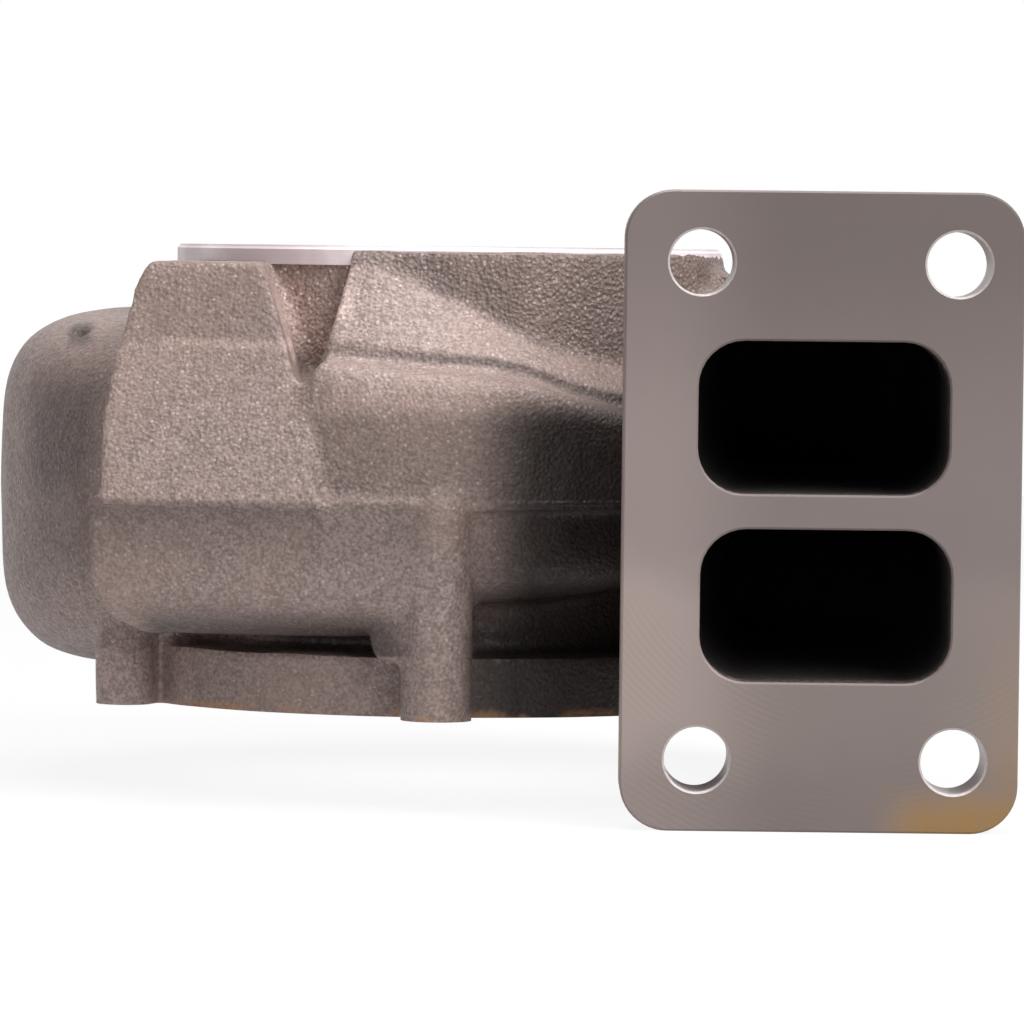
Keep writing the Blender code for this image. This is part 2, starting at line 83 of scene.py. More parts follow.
class Wiring:
    """Adds nodes to one node tree and links them."""

    def __init__(self, tree: bpy.types.NodeTree) -> None:
        """Work on this tree."""
        self.tree = tree

    def node(self, kind: str, **settings: object) -> bpy.types.Node:
        """Add a node.

        Args:
            kind: The node's type name.
            **settings: The node's own properties.

        Returns:
            The new node.
        """
        made = self.tree.nodes.new(kind)
        for key, value in settings.items():
            setattr(made, key, value)
        return made

    def feed(self, socket: Socket, value: object) -> None:
        """Link a socket, or set it where a plain value is given.

        Args:
            socket: The input to fill.
            value: An output socket, a number or a tuple.
        """
        if isinstance(value, Socket):
            self.tree.links.new(value, socket)
        else:
            socket.default_value = value

    def math(self, operation: str, *values: object, clamp: bool = False) -> Socket:
        """Work out one step of arithmetic.

        Args:
            operation: The Math node's operation.
            *values: Its inputs in order.
            clamp: Whether the result is kept between 0 and 1.

        Returns:
            The output socket.
        """
        made = self.node("ShaderNodeMath", operation=operation, use_clamp=clamp)
        for socket, value in zip(made.inputs, values):
            self.feed(socket, value)
        return made.outputs[0]

    def product(self, first: object, *others: object) -> Socket:
        """Multiply values together, from left to right.

        Args:
            first: The first value.
            *others: What it is multiplied by.

        Returns:
            The product, or the first value where it is alone.
        """
        for value in others:
            first = self.math("MULTIPLY", first, value)
        return first

    def backdrop(self, lit: Socket, shown: Socket, strength: float = 1.0) -> Socket:
        """Show one shader to the camera, in gloss and through glass, while light meets another.

        Args:
            lit: The shader that light meets.
            shown: The shader that is seen.
            strength: How much of it is seen.

        Returns:
            The mixed shader.
        """
        rays = self.node("ShaderNodeLightPath").outputs
        seen = self.math("MAXIMUM", rays["Is Camera Ray"], rays["Is Glossy Ray"])
        seen = self.math("MAXIMUM", seen, rays["Is Transmission Ray"])
        made = self.node("ShaderNodeMixShader")
        for socket, value in zip(made.inputs, (self.math("MULTIPLY", seen, strength), lit, shown)):
            self.feed(socket, value)
        return made.outputs[0]


class Bench(Wiring):
    """Makes one material, whose patterns are set on Object coordinates."""

    def __init__(self, name: str) -> None:
        """Start a material under this name.

        Args:
            name: The material's name.
        """
        self.material = bpy.data.materials.new(name)
        self.material.use_nodes = True
        super().__init__(self.material.node_tree)
        self.shader = self.tree.nodes["Principled BSDF"]
        self.output = self.tree.nodes["Material Output"]
        self.place = self.node("ShaderNodeTexCoord").outputs["Object"]

    def noise(self, scale: float, detail: float = 2.0, roughness: float = 0.5,
              at: Socket | None = None) -> Socket:
        """Read smooth noise at a scale given in patches a metre.

        Args:
            scale: Patches a metre.
            detail: How many finer layers are added.
            roughness: How strong the finer layers are.
            at: Where it is read, or None for Object coordinates.

        Returns:
            The noise's factor.
        """
        made = self.node("ShaderNodeTexNoise")
        self.feed(made.inputs["Vector"], at or self.place)
        made.inputs["Scale"].default_value = scale
        made.inputs["Detail"].default_value = detail
        made.inputs["Roughness"].default_value = roughness
        return made.outputs["Fac"]

    def grains(self, scale: float) -> bpy.types.Node:
        """Read a pattern of cells, as grains of moulding sand leave.

        Args:
            scale: Cells a metre.

        Returns:
            The Voronoi node, for its Distance and Color.
        """
        made = self.node("ShaderNodeTexVoronoi", feature="F1")
        self.feed(made.inputs["Vector"], self.place)
        made.inputs["Scale"].default_value = scale
        return made

    def band(self, value: object, low: float, high: float, to_low: float = 0.0,
             to_high: float = 1.0) -> Socket:
        """Carry a value smoothly from one range to another.

        Args:
            value: The value to carry.
            low: Where the step starts.
            high: Where the step ends.
            to_low: What it gives at the start.
            to_high: What it gives at the end.

        Returns:
            The output socket.
        """
        made = self.node("ShaderNodeMapRange", interpolation_type="SMOOTHSTEP")
        for socket, number in zip(made.inputs, (value, low, high, to_low, to_high)):
            self.feed(socket, number)
        return made.outputs["Result"]

    def ramp(self, length: object, start: float, full: float, low: float = 0.0,
             high: float = 1.0) -> Socket:
        """Do for a length what band does, with the step's start and end in millimetres."""
        return self.band(length, start * MM, full * MM, low, high)

    def parts(self) -> tuple[Socket, Socket, Socket]:
        """Split the Object coordinates.

        Returns:
            The x, y and z sockets, in metres.
        """
        made = self.node("ShaderNodeSeparateXYZ")
        self.feed(made.inputs[0], self.place)
        return made.outputs[0], made.outputs[1], made.outputs[2]

    def patch(self, *steps: Step) -> Socket:
        """Say where a soft patch lies, as the product of its steps.

        Args:
            *steps: An axis each, and where along it, in millimetres, the patch begins and is full.

        Returns:
            The share, from 0 outside the patch to 1 in it.
        """
        places = dict(zip("xyz", self.parts()))
        return self.product(*(self.ramp(places[axis], start, full) for axis, start, full in steps))

    def distance(self, plane: str, centre: Range) -> Socket:
        """Measure how far a point is from a line that stands square on a plane.

        The distance is the square root of the sum of the squared offsets along the plane's two axes.

        Args:
            plane: The plane's two axes.
            centre: Where the line stands, in millimetres.

        Returns:
            The distance in metres.
        """
        places = dict(zip("xyz", self.parts()))
        offsets = [self.math("SUBTRACT", places[axis], at * MM) for axis, at in zip(plane, centre)]
        squares = [self.math("MULTIPLY", offset, offset) for offset in offsets]
        return self.math("SQRT", self.math("ADD", *squares))

    def mix(self, share: object, first: object, second: object, blend: str = "MIX") -> Socket:
        """Mix two colours.

        Args:
            share: How much of the second is taken.
            first: The first colour.
            second: The second colour.
            blend: The way in which they are mixed.

        Returns:
            The mixed colour.
        """
        made = self.node("ShaderNodeMix", data_type="RGBA", blend_type=blend)
        self.feed(made.inputs["Factor"], share)
        self.feed(made.inputs[6], first)
        self.feed(made.inputs[7], second)
        return made.outputs[2]

    def shaded(self, colour: object, factor: Socket) -> Socket:
        """Multiply a colour by a number, which makes it darker or paler.

        Args:
            colour: The colour.
            factor: The number.

        Returns:
            The new colour.
        """
        grey = self.node("ShaderNodeCombineColor")
        for socket in grey.inputs:
            self.feed(socket, factor)
        return self.mix(1.0, colour, grey.outputs[0], "MULTIPLY")

    def relief(self, height: Socket, size: Range, under: Socket | None = None) -> Socket:
        """Turn a height into bumps.

        Args:
            height: The height, from 0 to 1.
            size: What a height of 1 measures, in millimetres, and how strong the bumps are.
            under: The normal of the bumps that these stand on.

        Returns:
            The bent normal.
        """
        made = self.node("ShaderNodeBump")
        made.inputs["Distance"].default_value = size[0] * MM
        made.inputs["Strength"].default_value = size[1]
        self.feed(made.inputs["Height"], height)
        if under is not None:
            self.feed(made.inputs["Normal"], under)
        return made.outputs["Normal"]

    def dress(self, **sockets: object) -> bpy.types.Material:
        """Fill the shader's sockets.

        Args:
            **sockets: Values by socket name, with _ for a space.

        Returns:
            The finished material.
        """
        for key, value in sockets.items():
            self.feed(self.shader.inputs[key.replace("_", " ")], value)
        return self.material


# Finishes


@dataclass(frozen=True)
class PaintedLight:
    """A soft patch of painted light and shade: where light falls the skin is made paler than the rest, and
    where shade falls darker.

    Each step names an axis and says, in millimetres, where along it the patch begins and where it is
    full.
    """

    factor: float
    steps: tuple[Step, ...]

    def over(self, bench: Bench) -> Socket:
        """Carry what the skin's colour is multiplied by from 1 to the factor, by the patch's share."""
        return bench.math("MULTIPLY_ADD", bench.patch(*self.steps), self.factor - 1.0, 1.0)


# Patches of painted light and shade on the cast skin. Painted shadow of the inlet flange on the corner
# behind it
FLANGE_SHADOW_CORNER = PaintedLight(0.15, (
    ("x", -63.0, -48.5), ("x", -22.0, -28.0), ("y", 15.5, 19.0), ("y", 80.0, 60.0), ("z", 21.0, 12.5),
))
# Painted shadow of the inlet flange on the foot of the body behind it
FLANGE_SHADOW_FOOT = PaintedLight(0.30, (
    ("x", -63.0, -58.5), ("x", -48.0, -53.0), ("y", 75.0, 60.0), ("z", -20.0, -25.0),
))
# Painted shade on the front wall under the shoulder
FRONT_WALL_SHADE = PaintedLight(0.80, (
    ("x", -92.0, -86.0), ("x", -36.0, -42.0), ("y", 58.0, 50.0), ("z", -1.0, 1.0), ("z", 16.0, 12.5),
))
# Painted shade on the lower wall left of the column
LOWER_WALL_SHADE = PaintedLight(0.72, (
    ("x", -66.0, -70.0), ("y", 62.0, 54.0), ("z", -18.0, -4.0), ("z", 0.0, -1.0),
))
# Painted light on the facet and the shoulder
FACET_AND_SHOULDER_LIGHT = PaintedLight(1.27, (
    ("x", -87.0, -84.0), ("x", -38.0, -46.0), ("y", 58.0, 52.0), ("z", 14.5, 17.5),
))
# Painted light on the gusset's face
GUSSET_FACE_LIGHT = PaintedLight(1.07, (
    ("x", -86.0, -90.0), ("y", 56.0, 50.0), ("z", -1.0, 1.0), ("z", 28.0, 26.0),
))
# Painted highlight along the step high on the gusset
GUSSET_CREASE_HIGHLIGHT = PaintedLight(1.30, (
    ("x", -117.0, -113.0), ("x", -89.0, -93.0), ("y", 56.0, 50.0), ("z", 25.4, 26.5), ("z", 28.0, 27.0),
))
# Painted shadow of the gusset on the side of the scroll
SCROLL_SIDE_SHADOW = PaintedLight(0.52, (
    ("x", -144.0, -137.0), ("x", -96.0, -100.0), ("y", 54.0, 60.0), ("y", 125.0, 100.0),
    ("z", -4.0, 4.0), ("z", 25.0, 15.0),
))
# Painted shade on the lower side of the scroll
SCROLL_LOWER_SIDE_SHADE = PaintedLight(0.76, (
    ("x", -144.0, -137.0), ("x", -96.0, -100.0), ("y", 54.0, 60.0), ("y", 125.0, 100.0),
    ("z", -17.0, -9.0), ("z", 4.0, -4.0),
))
# Painted light in the valley between the gusset and the facet
VALLEY_LIGHT = PaintedLight(1.80, (
    ("x", -98.0, -94.0), ("x", -80.0, -84.0), ("y", 42.0, 46.0), ("y", 70.0, 64.0), ("z", 22.0, 26.0),
))
# Painted light on the front lug
FRONT_LUG_LIGHT = PaintedLight(1.40, (
    ("x", -109.0, -112.0), ("y", 82.0, 74.0), ("z", -25.0, -28.0),
))
# Painted shade in the groove under the lower wall
GROOVE_SHADE_UNDER_WALL = PaintedLight(0.30, (
    ("x", -122.0, -114.0), ("x", -68.0, -75.0), ("y", 64.0, 56.0), ("z", -17.5, -24.0),
    ("z", -27.9, -27.1),
))
# Painted shade in the pit
PIT_SHADE = PaintedLight(0.32, (
    ("x", -135.0, -133.0), ("x", -128.0, -131.0), ("y", 60.0, 66.0), ("y", 90.0, 84.0),
    ("z", 24.5, 26.8), ("z", 30.5, 28.6),
))


@dataclass(frozen=True)
class SandCastSkin:
    """Iron as it leaves a sand mould: brown-grey, evenly grained, with small bright flecks that are painted
    glints, and patches of painted light and shade.

    Places and levels are in millimetres, and a relief has its height in millimetres and its strength.
    """

    light: Colour = (0.276, 0.210, 0.192, 1.0)
    dark: Colour = (0.156, 0.114, 0.102, 1.0)
    warm: Colour = (0.264, 0.182, 0.152, 1.0)
    # The colour of the painted glints
    painted_glint: Colour = (0.700, 0.600, 0.570, 1.0)
    rust: Colour = (0.350, 0.185, 0.085, 1.0)
    grain_scale: float = 1350.0
    fine_noise: Noise = (1687.5, 1.0)
    lump_noise: Noise = (520.0, 2.0)
    stain_noise: Noise = (26.0, 3.0, 0.55)
    rust_noise: Noise = (90.0, 3.0, 0.6)
    fine_share: float = 0.7
    lump_share: float = 0.3
    stain_share: float = 0.35
    painted_glint_share: float = 0.30
    rust_share: float = 0.6
    mottle: Range = (0.34, 0.66)
    stained: Range = (0.38, 0.68)
    bright_cells: Range = (0.84, 0.92)
    painted_glint_reach: Range = (0.55, 0.15)
    rusty: Range = (0.46, 0.62)
    rust_levels: Range = (-36.5, -38.2)
    roughness: tuple[float, ...] = (0.1, 0.9, 0.65, 0.45)
    metallic: float = 0.10
    specular: float = 0.35
    axis: Range = (-65.3, 100.0)
    behind_plate: Step = ("y", 15.5, 19.0)
    parting_level: float = -0.4
    parting_width: Range = (0.6, 0.1)
    parting_steps: tuple[Step, ...] = (("x", -58.0, -52.0), ("y", 125.0, 50.0))
    parting_relief: Range = (0.40, 0.7)
    lump_relief: Range = (0.30, 0.5)
    grain_relief: Range = (0.22, 0.75)
    fine_relief: Range = (0.14, 0.7)
    # Where the painted shade in the crease under the facet lies
    crease_level: float = 25.6
    crease_sinks: tuple[tuple[float, float, float], ...] = ((-87.0, -60.0, 1.4), (-60.0, -33.0, 6.5))
    crease_width: Range = (1.4, 0.2)
    crease_steps: tuple[Step, ...] = (("y", 58.0, 54.0), ("x", -88.0, -84.0), ("x", -30.0, -32.5))
    crease_depth: tuple[float, ...] = (-87.0, -62.0, 0.25, 0.55)
    pad_edge: tuple[float, ...] = (-66.2, -47.0, 0.0518, 0.0570)
    pad_fade: Range = (1.0, -0.4)
    pad_steps: tuple[Step, ...] = (("z", 22.0, 27.0),)
    # Painted shade on the rough pad, full from here to the right
    pad_shade_steps: tuple[Step, ...] = (("x", -88.0, -80.0),)
    pad_painted_shade: float = -0.34
    pad_grain: float = 0.85
    fine_below: tuple[float, ...] = (2.0, -4.0, 0.0, 0.28)
    fine_behind: tuple[float, ...] = (58.0, 90.0, 0.0, 0.30)
    # Patches of painted light and painted shade
    painted_patches: tuple[PaintedLight, ...] = (
        FLANGE_SHADOW_CORNER, FLANGE_SHADOW_FOOT, FRONT_WALL_SHADE, LOWER_WALL_SHADE, FACET_AND_SHOULDER_LIGHT, GUSSET_FACE_LIGHT,
        GUSSET_CREASE_HIGHLIGHT, SCROLL_SIDE_SHADOW, SCROLL_LOWER_SIDE_SHADE, VALLEY_LIGHT, FRONT_LUG_LIGHT, GROOVE_SHADE_UNDER_WALL, PIT_SHADE,
    )

    def material(self) -> bpy.types.Material:
        """Wire the grain, the painted glints, the painted light and shade, the parting line and the rust of
        the lower edge.

        Returns:
            The material.
        """
        bench = Bench(Finish.CAST.value)
        pad = self.pad_share(bench)
        rough = self.roughened(bench, pad)
        grain = bench.grains(self.grain_scale)
        cells = bench.node("ShaderNodeSeparateColor")
        bench.feed(cells.inputs[0], grain.outputs["Color"])
        fine = bench.noise(*self.fine_noise)
        lumps = bench.noise(*self.lump_noise)
        mottle = bench.math("ADD", bench.math("MULTIPLY", fine, self.fine_share),
                            bench.math("MULTIPLY", lumps, self.lump_share))
        colour = bench.mix(bench.band(mottle, *self.mottle), self.dark, self.light)
        stain = bench.band(bench.noise(*self.stain_noise), *self.stained)
        colour = bench.mix(bench.math("MULTIPLY", stain, self.stain_share), colour, self.warm)
        # Painted glints: pale specks on the brightest grains, stronger where the skin is coarser
        painted_glint = bench.product(bench.band(cells.outputs[0], *self.bright_cells),
                              bench.band(grain.outputs["Distance"], *self.painted_glint_reach), rough,
                              self.painted_glint_share)
        # The painted light and shade multiply the colour
        colour = bench.shaded(bench.mix(painted_glint, colour, self.painted_glint), self.painted_shading(bench, pad))
        rust = bench.product(bench.patch(("z", *self.rust_levels)),
                             bench.band(bench.noise(*self.rust_noise), *self.rusty), self.rust_share)
        colour = bench.mix(rust, colour, self.rust)
        gloss = bench.band(cells.outputs[1], *self.roughness)
        normal = bench.relief(self.parting_line(bench), self.parting_relief)
        normal = bench.relief(lumps, self.lump_relief, normal)
        normal = bench.relief(bench.math("MULTIPLY", grain.outputs["Distance"], rough), self.grain_relief,
                              normal)
        normal = bench.relief(bench.math("MULTIPLY", fine, rough), self.fine_relief, normal)
        return bench.dress(Base_Color=colour, Roughness=gloss, Metallic=self.metallic,
                           Specular_IOR_Level=self.specular, Normal=normal)

    def painted_shading(self, bench: Bench, pad: Socket) -> Socket:
        """Put the patches of painted light and shade together with the painted shade on the pad and in the
        crease.

        Args:
            bench: The material's bench.
            pad: The share of the rough pad.

        Returns:
            What the skin's colour is multiplied by.
        """
        # Painted shade on the rough pad
        beside = bench.math("MULTIPLY", pad, bench.patch(*self.pad_shade_steps))
        factors = [bench.math("MULTIPLY_ADD", beside, self.pad_painted_shade, 1.0), self.crease_shade(bench)]
        return bench.product(*factors, *(painted.over(bench) for painted in self.painted_patches))

    def parting_line(self, bench: Bench) -> Socket:
        """Raise the line that the two halves of the mould leave at the front.

        Args:
            bench: The material's bench.

        Returns:
            Its height, from 0 to 1.
        """
        rise = bench.math("ABSOLUTE", bench.math("ADD", bench.parts()[2], -self.parting_level * MM))
        place = bench.patch(*self.parting_steps, self.behind_plate)
        return bench.math("MULTIPLY", bench.ramp(rise, *self.parting_width), place)

    def crease_shade(self, bench: Bench) -> Socket:
        """Paint shade into the crease under the facet, which sinks towards the right in two smooth steps.

        Args:
            bench: The material's bench.

        Returns:
            What the skin's colour is multiplied by.
        """
        across, _, up = bench.parts()
        sinks = [bench.ramp(across, left, right, 0.0, drop * MM) for left, right, drop in self.crease_sinks]
        level = bench.math("ADD", bench.math("ADD", up, -self.crease_level * MM), bench.math("ADD", *sinks))
        line = bench.ramp(bench.math("ABSOLUTE", level), *self.crease_width)
        place = bench.patch(*self.crease_steps, self.behind_plate)
        here = bench.math("MULTIPLY", place, bench.ramp(across, *self.crease_depth))
        return bench.math("SUBTRACT", 1.0, bench.math("MULTIPLY", line, here))

    def pad_share(self, bench: Bench) -> Socket:
        """Say where the rough pad beside the outlet ring is, whose edge lies farther out at the right.

        Args:
            bench: The material's bench.

        Returns:
            The share, from 0 to 1.
        """
        edge = bench.ramp(bench.parts()[0], *self.pad_edge)
        past = bench.math("SUBTRACT", bench.distance("xy", self.axis), edge)
        return bench.math("MULTIPLY", bench.ramp(past, *self.pad_fade), bench.patch(*self.pad_steps))

    def roughened(self, bench: Bench, pad: Socket) -> Socket:
        """Say how coarse the skin is: coarsest beside the outlet ring, finer below and at the back.

        Args:
            bench: The material's bench.
            pad: The share of the rough pad.

        Returns:
            The strength of the grain, where 1 is that of the front.
        """
        _, deep, up = bench.parts()
        strength = bench.math("MULTIPLY_ADD", pad, self.pad_grain, 1.0)
        strength = bench.math("SUBTRACT", strength, bench.ramp(up, *self.fine_below))
        return bench.math("SUBTRACT", strength, bench.ramp(deep, *self.fine_behind))


@dataclass(frozen=True)
class MilledFace:
    """The inlet flange's joint face: milled flat, with painted shade that darkens it towards the top and
    from the middle to the right, a painted reflection that makes it paler low down, and a rust bloom at one
    corner.
    """

    # Painted shade: the top of the face takes this darker colour
    dim_colour: Colour = (0.126, 0.099, 0.094, 1.0)
    colour: Colour = (0.180, 0.145, 0.137, 1.0)
    # The colour of the painted reflection of the floor
    painted_reflection_colour: Colour = (0.230, 0.184, 0.168, 1.0)
    rust: Colour = (0.240, 0.135, 0.040, 1.0)
    mottle_noise: Noise = (48.0, 2.0)
    mottle_middle: float = 0.5
    mottle_shift: float = 20.0
    painted_shade_levels: Range = (50.0, 6.0)
    reflection_top: Range = (-4.0, -18.0)
    reflection_foot: Range = (-50.0, -34.0)
    reflection_left: tuple[float, ...] = (4.0, -26.0, 0.35, 1.0)
    reflection_right: tuple[float, ...] = (14.0, 30.0, 0.0, 0.35)
    cutter_centre: Range = (7.0, 8.0)
    mark_pitch: float = 1.05
    mark_reach: Range = (36.0, 46.0)
    mark_step: Step = ("z", 6.0, -14.0)
    mark_noise: Noise = (60.0, 1.0)
    mark_patches: Range = (0.36, 0.60)
    wobble_noise: Noise = (500.0, 1.0)
    mark_wobble: float = 0.4
    mark_shade: float = 0.035
    mark_relief: Range = (0.004, 0.5)
    fine_noise: Noise = (1600.0, 2.0)
    fine_relief: Range = (0.02, 0.2)
    # Painted shade: paler at the left edge, darker from the middle to the right
    side_shade: tuple[float, ...] = (-30.0, -6.0, 1.12, 0.79)
    bottom_steps: tuple[Step, ...] = (("z", -44.0, -52.0), ("x", 6.0, 18.0))
    edge_step: Step = ("x", 24.0, 32.0)
    edge_rise: tuple[float, ...] = (-10.0, -46.0, 0.0, 0.45)
    bloom_noise: Noise = (70.0, 3.0, 0.6)
    bloom_patches: tuple[float, ...] = (0.22, 0.62, 0.45, 1.0)
    bloom_share: float = 0.85
    bloom_roughness: float = 0.35
    roughness: tuple[float, ...] = (-0.2, 0.2, 0.41, 0.49)
    metallic: float = 0.30

    def material(self) -> bpy.types.Material:
        """Wire the painted shade from the top down, the paler patch of painted reflection low down, the
        painted shade across the face, the cutter's arcs and the rust.

        Returns:
            The material.
        """
        bench = Bench(Finish.MILLED.value)
        across, _, up = bench.parts()
        mottle = bench.math("SUBTRACT", bench.noise(*self.mottle_noise), self.mottle_middle)
        level = bench.math("MULTIPLY_ADD", mottle, self.mottle_shift * MM, up)
        side = bench.math("MULTIPLY_ADD", mottle, self.mottle_shift * MM, across)
        # Painted shade: darker towards the top
        colour = bench.mix(bench.ramp(level, *self.painted_shade_levels), self.dim_colour, self.colour)
        # Painted reflection of the floor: a paler patch low down, strongest at the left
        painted_reflection = bench.product(bench.ramp(level, *self.reflection_top), bench.ramp(level, *self.reflection_foot))
        wide = bench.math("ADD", bench.ramp(side, *self.reflection_left), bench.ramp(across, *self.reflection_right))
        colour = bench.mix(bench.math("MULTIPLY", painted_reflection, wide, clamp=True), colour, self.painted_reflection_colour)
        marks = self.marks(bench)
        shade = bench.math("MULTIPLY_ADD", marks, self.mark_shade, 1.0)
        # The cutter's arcs, and the painted shade across the face
        colour = bench.shaded(colour, bench.math("MULTIPLY", shade, bench.ramp(across, *self.side_shade)))
        bloom = self.bloom(bench)
        colour = bench.mix(bloom, colour, self.rust)
        gloss = bench.band(mottle, *self.roughness)
        gloss = bench.math("MULTIPLY_ADD", bloom, self.bloom_roughness, gloss)
        normal = bench.relief(marks, self.mark_relief)
        normal = bench.relief(bench.noise(*self.fine_noise), self.fine_relief, normal)
        return bench.dress(Base_Color=colour, Roughness=gloss, Metallic=self.metallic, Normal=normal)

    def marks(self, bench: Bench) -> Socket:
        """Draw the arcs of the cutter, as a sine of the distance from its centre, in the lower half.

        Args:
            bench: The material's bench.

        Returns:
            The height of the marks, from -1 to 1.
        """
        radius = bench.distance("xz", self.cutter_centre)
        wobble = bench.math("MULTIPLY", bench.noise(*self.wobble_noise), self.mark_wobble * MM)
        turn = bench.product(bench.math("ADD", radius, wobble), 2 * math.pi / (self.mark_pitch * MM))
        here = bench.product(bench.ramp(radius, *self.mark_reach), bench.patch(self.mark_step),
                             bench.band(bench.noise(*self.mark_noise), *self.mark_patches))
        return bench.math("MULTIPLY", bench.math("SINE", turn), here)

    def bloom(self, bench: Bench) -> Socket:
        """Say how rusty the face is: along the bottom edge at the right, and faintly up the right edge.

        Args:
            bench: The material's bench.

        Returns:
            The share of rust, from 0 to 1.
        """
        patches = bench.band(bench.noise(*self.bloom_noise), *self.bloom_patches)
        edge = bench.product(bench.patch(self.edge_step), bench.ramp(bench.parts()[2], *self.edge_rise))
        both = bench.math("MAXIMUM", bench.patch(*self.bottom_steps), edge)
        return bench.product(both, patches, self.bloom_share)


@dataclass(frozen=True)
class TurnedFace:
    """Faces cut on a lathe: bright grey with fine rings along the cut."""

    colour: Colour = (0.560, 0.485, 0.505, 1.0)
    dim_colour: Colour = (0.370, 0.312, 0.322, 1.0)
    ring_noise: Noise = (3600.0, 2.0, 0.6)
    ring_share: float = 0.55
    patch_noise: Noise = (75.0, 3.0, 0.6)
    patch_share: float = 0.5
    patchy: Range = (0.40, 0.66)
    rim_radius: Range = (48.5, 49.4)
    rim_step: Step = ("z", 43.9, 43.5)
    # How much paler the painted light makes the outer band
    painted_rim_gain: float = 0.55
    ring_relief: Range = (0.02, 0.5)
    roughness: tuple[float, ...] = (0.3, 0.7, 0.46, 0.58)
    metallic: float = 0.30
    axis: Range = (-65.3, 100.0)

    def material(self) -> bpy.types.Material:
        """Wire the tool's rings, which follow the radius and the height together, and the painted light that
        makes the ring's outer band paler.

        Returns:
            The material.
        """
        bench = Bench(Finish.TURNED.value)
        radius = bench.distance("xy", self.axis)
        along = bench.node("ShaderNodeCombineXYZ")
        bench.feed(along.inputs[0], bench.math("ADD", radius, bench.parts()[2]))
        rings = bench.noise(*self.ring_noise, at=along.outputs[0])
        patches = bench.band(bench.noise(*self.patch_noise), *self.patchy)
        share = bench.math("ADD", bench.math("MULTIPLY", rings, self.ring_share),
                           bench.math("MULTIPLY", patches, self.patch_share), clamp=True)
        # Painted light on the turned faces outside the ring's radius and below its chamfer, chiefly the
        # ring's outer band
        painted_rim_light = bench.math("MULTIPLY", bench.ramp(radius, *self.rim_radius), bench.patch(self.rim_step))
        colour = bench.shaded(bench.mix(share, self.dim_colour, self.colour),
                              bench.math("MULTIPLY_ADD", painted_rim_light, self.painted_rim_gain, 1.0))
        gloss = bench.band(rings, *self.roughness)
        normal = bench.relief(rings, self.ring_relief)
        return bench.dress(Base_Color=colour, Roughness=gloss, Metallic=self.metallic, Normal=normal)


@dataclass(frozen=True)
class DrilledWall:
    """The walls of drilled holes: clean bright metal, finely and unevenly scored."""

    colour: Colour = (0.460, 0.420, 0.412, 1.0)
    dim_colour: Colour = (0.400, 0.350, 0.340, 1.0)
    score_noise: Noise = (1500.0, 3.0, 0.6)
    scored: Range = (0.3, 0.7)
    score_relief: Range = (0.03, 0.4)
    roughness: float = 0.42
    metallic: float = 0.35

    def material(self) -> bpy.types.Material:
        """Wire the scoring.

        Returns:
            The material.
        """
        bench = Bench(Finish.DRILLED.value)
        scores = bench.noise(*self.score_noise)
        colour = bench.mix(bench.band(scores, *self.scored), self.dim_colour, self.colour)
        normal = bench.relief(scores, self.score_relief)
        return bench.dress(Base_Color=colour, Roughness=self.roughness, Metallic=self.metallic,
                           Normal=normal)


@dataclass(frozen=True)
class CoreSkin:
    """The rough dark skin that sand cores leave inside the gas passages, painted near black deeper in as
    painted shade, with painted light in two of the ports' corners.
    """

    light: Colour = (0.150, 0.115, 0.105, 1.0)
    # Near black: partly dark oxide and partly painted shade
    dark: Colour = (0.012, 0.009, 0.009, 1.0)
    grain_noise: Noise = (1100.0, 4.0, 0.65)
    lump_noise: Noise = (300.0, 3.0, 0.6)
    grainy: Range = (0.38, 0.68)
    # Painted shade: the grain fades towards near black deeper in from the mouth
    mouth: tuple[float, ...] = (12.0, 1.0, 0.12, 1.0)
    lump_relief: Range = (0.9, 0.8)
    grain_relief: Range = (0.3, 0.9)
    roughness: float = 0.70
    metallic: float = 0.15
    # Painted light in two of the ports' corners
    corners: tuple[PaintedLight, ...] = (
        PaintedLight(2.4, (("x", -11.0, -17.0), ("z", -20.0, -26.0), ("y", 12.0, 4.0))),
        PaintedLight(2.4, (("x", 13.0, 19.0), ("z", 20.0, 26.0), ("y", 12.0, 4.0))),
    )

    def material(self) -> bpy.types.Material:
        """Wire coarse grain over a near-black colour, partly dark oxide and partly painted shade that
        deepens away from the mouth, with painted light in two of the ports' corners.

        Returns:
            The material.
        """
        bench = Bench(Finish.CORE.value)
        grain = bench.noise(*self.grain_noise)
        lumps = bench.noise(*self.lump_noise)
        share = bench.math("MULTIPLY", bench.band(grain, *self.grainy),
                           bench.ramp(bench.parts()[1], *self.mouth))
        colour = bench.mix(share, self.dark, self.light)
        # Painted light in two of the ports' corners
        for corner in self.corners:
            colour = bench.shaded(colour, corner.over(bench))
        normal = bench.relief(lumps, self.lump_relief)
        normal = bench.relief(grain, self.grain_relief, normal)
        return bench.dress(Base_Color=colour, Roughness=self.roughness, Metallic=self.metallic,
                           Normal=normal)


class Finishes:
    """The housing's materials, one for each finish."""

    def __init__(self) -> None:
        """Make every material once."""
        makers = {
            Finish.CAST: SandCastSkin(),
            Finish.MILLED: MilledFace(),
            Finish.TURNED: TurnedFace(),
            Finish.DRILLED: DrilledWall(),
            Finish.CORE: CoreSkin(),
        }
        self.materials = {finish: maker.material() for finish, maker in makers.items()}


# Surfaces


